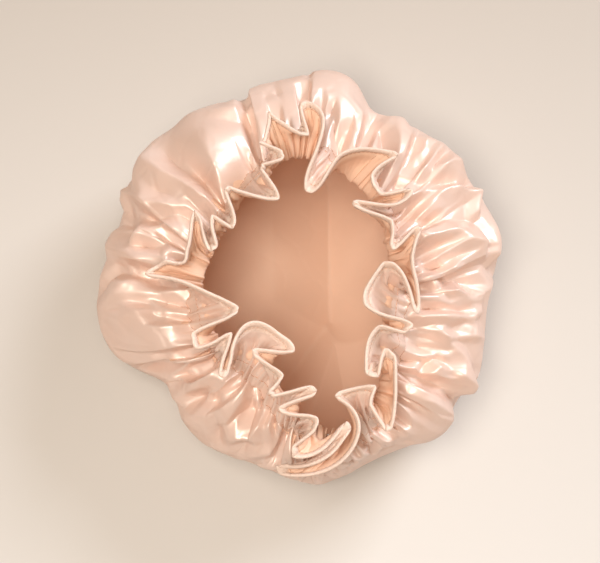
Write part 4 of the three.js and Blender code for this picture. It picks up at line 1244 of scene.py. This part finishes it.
def crown_creases(points):
    """How far the slack lining rises off the crown, with a soft valley along each crease."""
    flat = points[..., :2]
    reach = np.linalg.norm(flat, axis=-1)
    low = smooth_step(*RISE_HEIGHTS, points[..., 2])
    sunk = np.zeros(reach.shape)
    for start, end, depth in CREASES:
        start, end = np.array(start, float), np.array(end, float)
        way = end - start
        t = np.clip(((flat - start) @ way) / (way @ way), 0, 1)
        off = np.linalg.norm(flat - start - t[..., None] * way, axis=-1)
        sunk = np.maximum(sunk, depth * np.maximum(0, 1 - off / CREASE_REACH) ** 1.25)
    return low * smooth_step(*RISE_RADII, reach) * (LINING_RISE - sunk)


def with_relief(grid, form, radii, theta, angles, busy):
    """The cloth with the facets and the long folds of packed satin added on its body."""
    away = outward(form)
    depth = ((grid - form) * away).sum(axis=2)
    broad = by_radius(BROAD_HEIGHTS, radii)[:, None]
    small = by_radius(SMALL_HEIGHTS, radii)[:, None]
    height = broad * (1.5 * facets(radii, theta, *BROAD_FACETS) - 0.6)
    height += small * (0.45 + busy) * facets(radii, theta, *SMALL_FACETS)
    height += busy * broad * 0.7 * crumples(radii, theta, *BUSY_CRUMPLES)
    height *= calm(angles)
    height += FOLD_SHARE * smooth_step(216, 207, radii)[:, None] * long_folds(form)
    total = depth + height

    # The body stands out most where it faces up, and keeps its outline where it faces sideways
    up_share = smooth_step(0.05, 0.5, away[..., 2])
    off_back = smooth_step(*BACK_SPAN, np.abs(off_angle(angles, BACK_ANGLE)))
    most = by_radius(MOST_HEIGHTS, radii)[:, None]
    most = most * (SIDEWAYS_SHARE + (1 - SIDEWAYS_SHARE) * up_share)
    most *= BACK_SHARE + (1 - BACK_SHARE) * off_back
    least = SIDEWAYS_DEPTH + (UPWARDS_DEPTH - SIDEWAYS_DEPTH) * up_share
    kept = np.where(total > 0, most * np.tanh(total / most), -least * np.tanh(-total / least))
    body_share = smooth_step(217, 207, radii)[:, None]
    return grid + (body_share * (kept - depth) + (1 - body_share) * height)[..., None] * away


# Middle of the cloth: folded, sprung back to its lengths, creased, given its relief, creased again
grid, radii, theta, root, angles = cloth_form()
form = grid.copy()
grid = first_folds(grid, radii, theta, root, angles)
front = in_span(radii, FRONT_SPAN)[:, None] * (1 - calm(angles))
ease = by_radius(EASE, radii)[:, None] * (1 - FRONT_TIGHTNESS * front)
passes = PASSES
grid = relaxed(grid, radii, by_radius(HOLD, radii), passes, CLOTH_APART, ease)
busy = around_table(BUSY_SHARES, angles)
alike = by_radius(ALIKE, radii)[:, None] * np.ones_like(busy)
grid = creased(grid, alike, 8, by_radius(CREASING, radii))
grid = with_relief(grid, form, radii, theta, angles, busy)
grid = creased(grid, 0.36 - 0.22 * busy, 3, in_span(radii, SHARP_SPAN))

cloth, form, radii = refined_grid(grid), refined_grid(form), refined(radii)
cloth, satin_side, lining_side = layers(cloth, radii, form)
normals = outward(cloth)

satin = woven_satin()
lining = coated_lining()
thread = spun_thread()

# Satin, with the hem rolled over the edge
rows = []
for inset, off in HEM_ROLL:
    radius = CUT_RADIUS - inset
    rows.append(row_at(cloth, radii, radius) + off * row_at(normals, radii, radius))
edge_up = unit(row_at(cloth, radii, CUT_RADIUS) - row_at(cloth, radii, CUT_RADIUS - 2.0))
rows[len(HEM_ROLL) // 2] += HEM_TIP_RISE * edge_up
for radius, row in zip(radii, satin_side):
    if radius < CUT_RADIUS - HEM_INSET:
        rows.append(row)
last = satin_side[-1]
middle = np.array([0, 0, CLOTH_FLOOR])
crown = [middle + (last - middle) * share for share in (0.82, 0.64, 0.46, 0.28, 0.12)]
shell = cloth_object("satin_cloth", rows, crown, satin)
shell.data.materials.append(stitched_hem())
hem_faces = (len(HEM_ROLL) + 1) * rows[0].shape[0]
finish_of = np.zeros(len(shell.data.polygons), np.int32)
finish_of[:hem_faces] = 1
shell.data.polygons.foreach_set("material_index", finish_of)
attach(shell, "root")
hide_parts("satin_shell")

# Lining, its edge tucked into the hem and its crown slack
rows = [row_at(cloth - HALF_GAP * normals, radii, CUT_RADIUS - LINING_EDGE)]
for radius, row in zip(radii, lining_side):
    if radius < CUT_RADIUS - LINING_START:
        rows.append(row)
last = lining_side[-1]
middle = np.array([0, 0, last[:, 2].mean()])
crown = [middle + (last - middle) * share for share in np.linspace(0.97, 0.02, 40)]
lining_rows = np.stack([*rows, *crown])
lining_rows[..., 2] += crown_creases(lining_rows)
rows, crown = list(lining_rows[: len(rows)]), list(lining_rows[len(rows) :])
inside = cloth_object("lining_cloth", rows, crown, lining)
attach(inside, "root")
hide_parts("waterproof_lining")

# Seams
for name, node, layer, radius, side in [
    ("hem_needle_stitches", "hem_needle_thread", satin_side, HEM_SEAM, 1),
    ("hem_bobbin_stitches", "hem_bobbin_thread", lining_side, HEM_SEAM, -1),
    ("casing_upper_needle_stitches", "casing_upper_needle_thread", satin_side, UPPER_SEAM, 1),
    ("casing_upper_bobbin_stitches", "casing_upper_bobbin_thread", lining_side, UPPER_SEAM, -1),
    ("casing_lower_needle_stitches", "casing_lower_needle_thread", satin_side, LOWER_SEAM, 1),
    ("casing_lower_bobbin_stitches", "casing_lower_bobbin_thread", lining_side, LOWER_SEAM, -1),
]:
    way = side * row_at(outward(layer), radii, radius)
    line = row_at(layer, radii, radius) + THREAD_SINK * way
    points, faces = stitches(line, way, STITCH_LENGTH, STITCH_RISE)
    seam = new_object(name, points, faces, thread)
    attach(seam, "root")
    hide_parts(node)

# Elastic
angles = np.linspace(0, TURN, ELASTIC_COLUMNS, endpoint=False)
along, rise, out = casing_frame(angles)
middle_line = elastic_point(angles)
section = []
for u in np.linspace(-0.5, 0.5, SECTION_POINTS):
    rib = 1 - RIB_DEPTH + RIB_DEPTH * abs(math.cos(ELASTIC_RIBS * u * math.pi))
    section.append((u * ELASTIC_WIDTH, ELASTIC_THICKNESS / 2 * rib))
section = section + [(u, -h) for u, h in section[::-1]]
ring_rows = np.stack([middle_line + rise * u + out * h for u, h in section + section[:1]])
join_radius = around_table(ELASTIC_RADII, JOIN_ANGLE) * MOUTH_REACH
over = np.abs(angles - JOIN_ANGLE) * join_radius < JOIN_LENGTH / 2
end_rows = (ring_rows - (ELASTIC_THICKNESS + END_GAP) * out)[:, over]
count, wide = ring_rows[..., 0].size, over.sum()
caps = [[count + r * wide + k for r in range(len(section))] for k in (0, wide - 1)]
points = np.concatenate([ring_rows.reshape(-1, 3), end_rows.reshape(-1, 3)])
faces = [
    band_faces(len(ring_rows), ELASTIC_COLUMNS), count + band_faces(len(end_rows), wide, False),
    np.array([caps[0][::-1], caps[1]]),
]
elastic = new_object("elastic_knit", points, faces, knitted_elastic())
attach(elastic, "root")
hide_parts("elastic_band")

# Zigzag over the elastic's join
along, rise, out = casing_frame(np.float64(JOIN_ANGLE))
strokes = np.array([
    elastic_point(np.float64(JOIN_ANGLE)) + along * (k - TACK_STROKES / 2) * TACK_STEP
    + rise * TACK_REACH * (0.5 if k % 2 else -0.5) - out * (1.5 * ELASTIC_THICKNESS + TACK_CLEAR)
    for k in range(TACK_STROKES + 1)
])
ups = np.tile(-out, (TACK_STROKES, 1))
points, faces = threads(strokes[:-1], strokes[1:], ups, TACK_RISE)
tack = new_object("elastic_join_zigzag", points, faces, thread)
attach(tack, "root")
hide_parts("elastic_join_tack")

# Table: a pale tone, with painted shade that darkens it towards the back, where less light falls
floor_material, tree = new_material("table_with_painted_falloff")
place = add_node(tree, "ShaderNodeTexCoord").outputs["Object"]
split = add_node(tree, "ShaderNodeSeparateXYZ", links={"Vector": place})
ramp = add_node(
    tree, "ShaderNodeMapRange", inputs={"From Min": -0.22, "From Max": 0.24},
    links={"Value": split.outputs["Y"]},
)
# The darker back tone is painted shade standing in for the light falling off towards the back
tone = add_node(
    tree, "ShaderNodeMix", {"data_type": "RGBA"}, {6: linear("#DAD7D2"), 7: linear("#BFB7AD")},
    {0: ramp.outputs[0]},
)
links = {"Base Color": tone.outputs[2]}
shader = add_node(tree, "ShaderNodeBsdfPrincipled", inputs={"Roughness": 0.9}, links=links)
add_node(tree, "ShaderNodeOutputMaterial", links={"Surface": shader.outputs[0]})
corners = 2000 * np.array([(-1, -1, 0), (1, -1, 0), (1, 1, 0), (-1, 1, 0)])
table_top = new_object("table_top", corners, [np.array([[0, 1, 2, 3]])], floor_material)

# Room light, with a pale backdrop where the camera sees past the table
world = bpy.data.worlds.new("studio")
bpy.context.scene.world = world
world.use_nodes = True
tree = world.node_tree
tree.nodes.clear()
path = add_node(tree, "ShaderNodeLightPath")
inputs = {"Color": linear("#FFE2C8"), "Strength": 0.26}
room = add_node(tree, "ShaderNodeBackground", inputs=inputs)
inputs = {"Color": linear("#D9CFC3"), "Strength": 1.0}
backdrop = add_node(tree, "ShaderNodeBackground", inputs=inputs)
mix = add_node(
    tree, "ShaderNodeMixShader",
    links={0: path.outputs["Is Camera Ray"], 1: room.outputs[0], 2: backdrop.outputs[0]},
)
add_node(tree, "ShaderNodeOutputWorld", links={"Surface": mix.outputs[0]})


def soft_box(name, place, aim, size, watts, colour):
    """A lamp behind a square of cloth, at a place in metres and turned towards its aim."""
    light = bpy.data.lights.new(name, "AREA")
    light.shape = "RECTANGLE"
    light.size, light.size_y = size
    light.energy = watts
    light.color = linear(colour)[:3]
    thing = bpy.data.objects.new(name, light)
    thing.location = Vector(place)
    thing.rotation_mode = "QUATERNION"
    thing.rotation_quaternion = (Vector(aim) - Vector(place)).to_track_quat("-Z", "Y")
    bpy.context.scene.collection.objects.link(thing)


soft_box("key_softbox", (1.5, 1.4, 1.4), (0, 0, 0.05), (1.1, 1.1), 52.0, "#F2F6FF")
soft_box("top_softbox", (-0.17, -0.22, 1.14), (0, 0, 0.05), (0.56, 0.56), 11.6, "#FFF6EC")

# Camera, above and a little in front
scene = bpy.context.scene
scene.view_settings.view_transform = "Standard"
camera = bpy.data.cameras.new("camera")
camera.lens = 70
camera.sensor_width = 36
eye = bpy.data.objects.new("camera", camera)
elevation, distance = math.radians(78), 0.735
target = Vector((0, 0, 0.05))
eye.location = target + distance * Vector((0, -math.cos(elevation), math.sin(elevation)))
eye.rotation_mode = "QUATERNION"
eye.rotation_quaternion = (target - eye.location).to_track_quat("-Z", "Y")
scene.collection.objects.link(eye)
scene.camera = eye
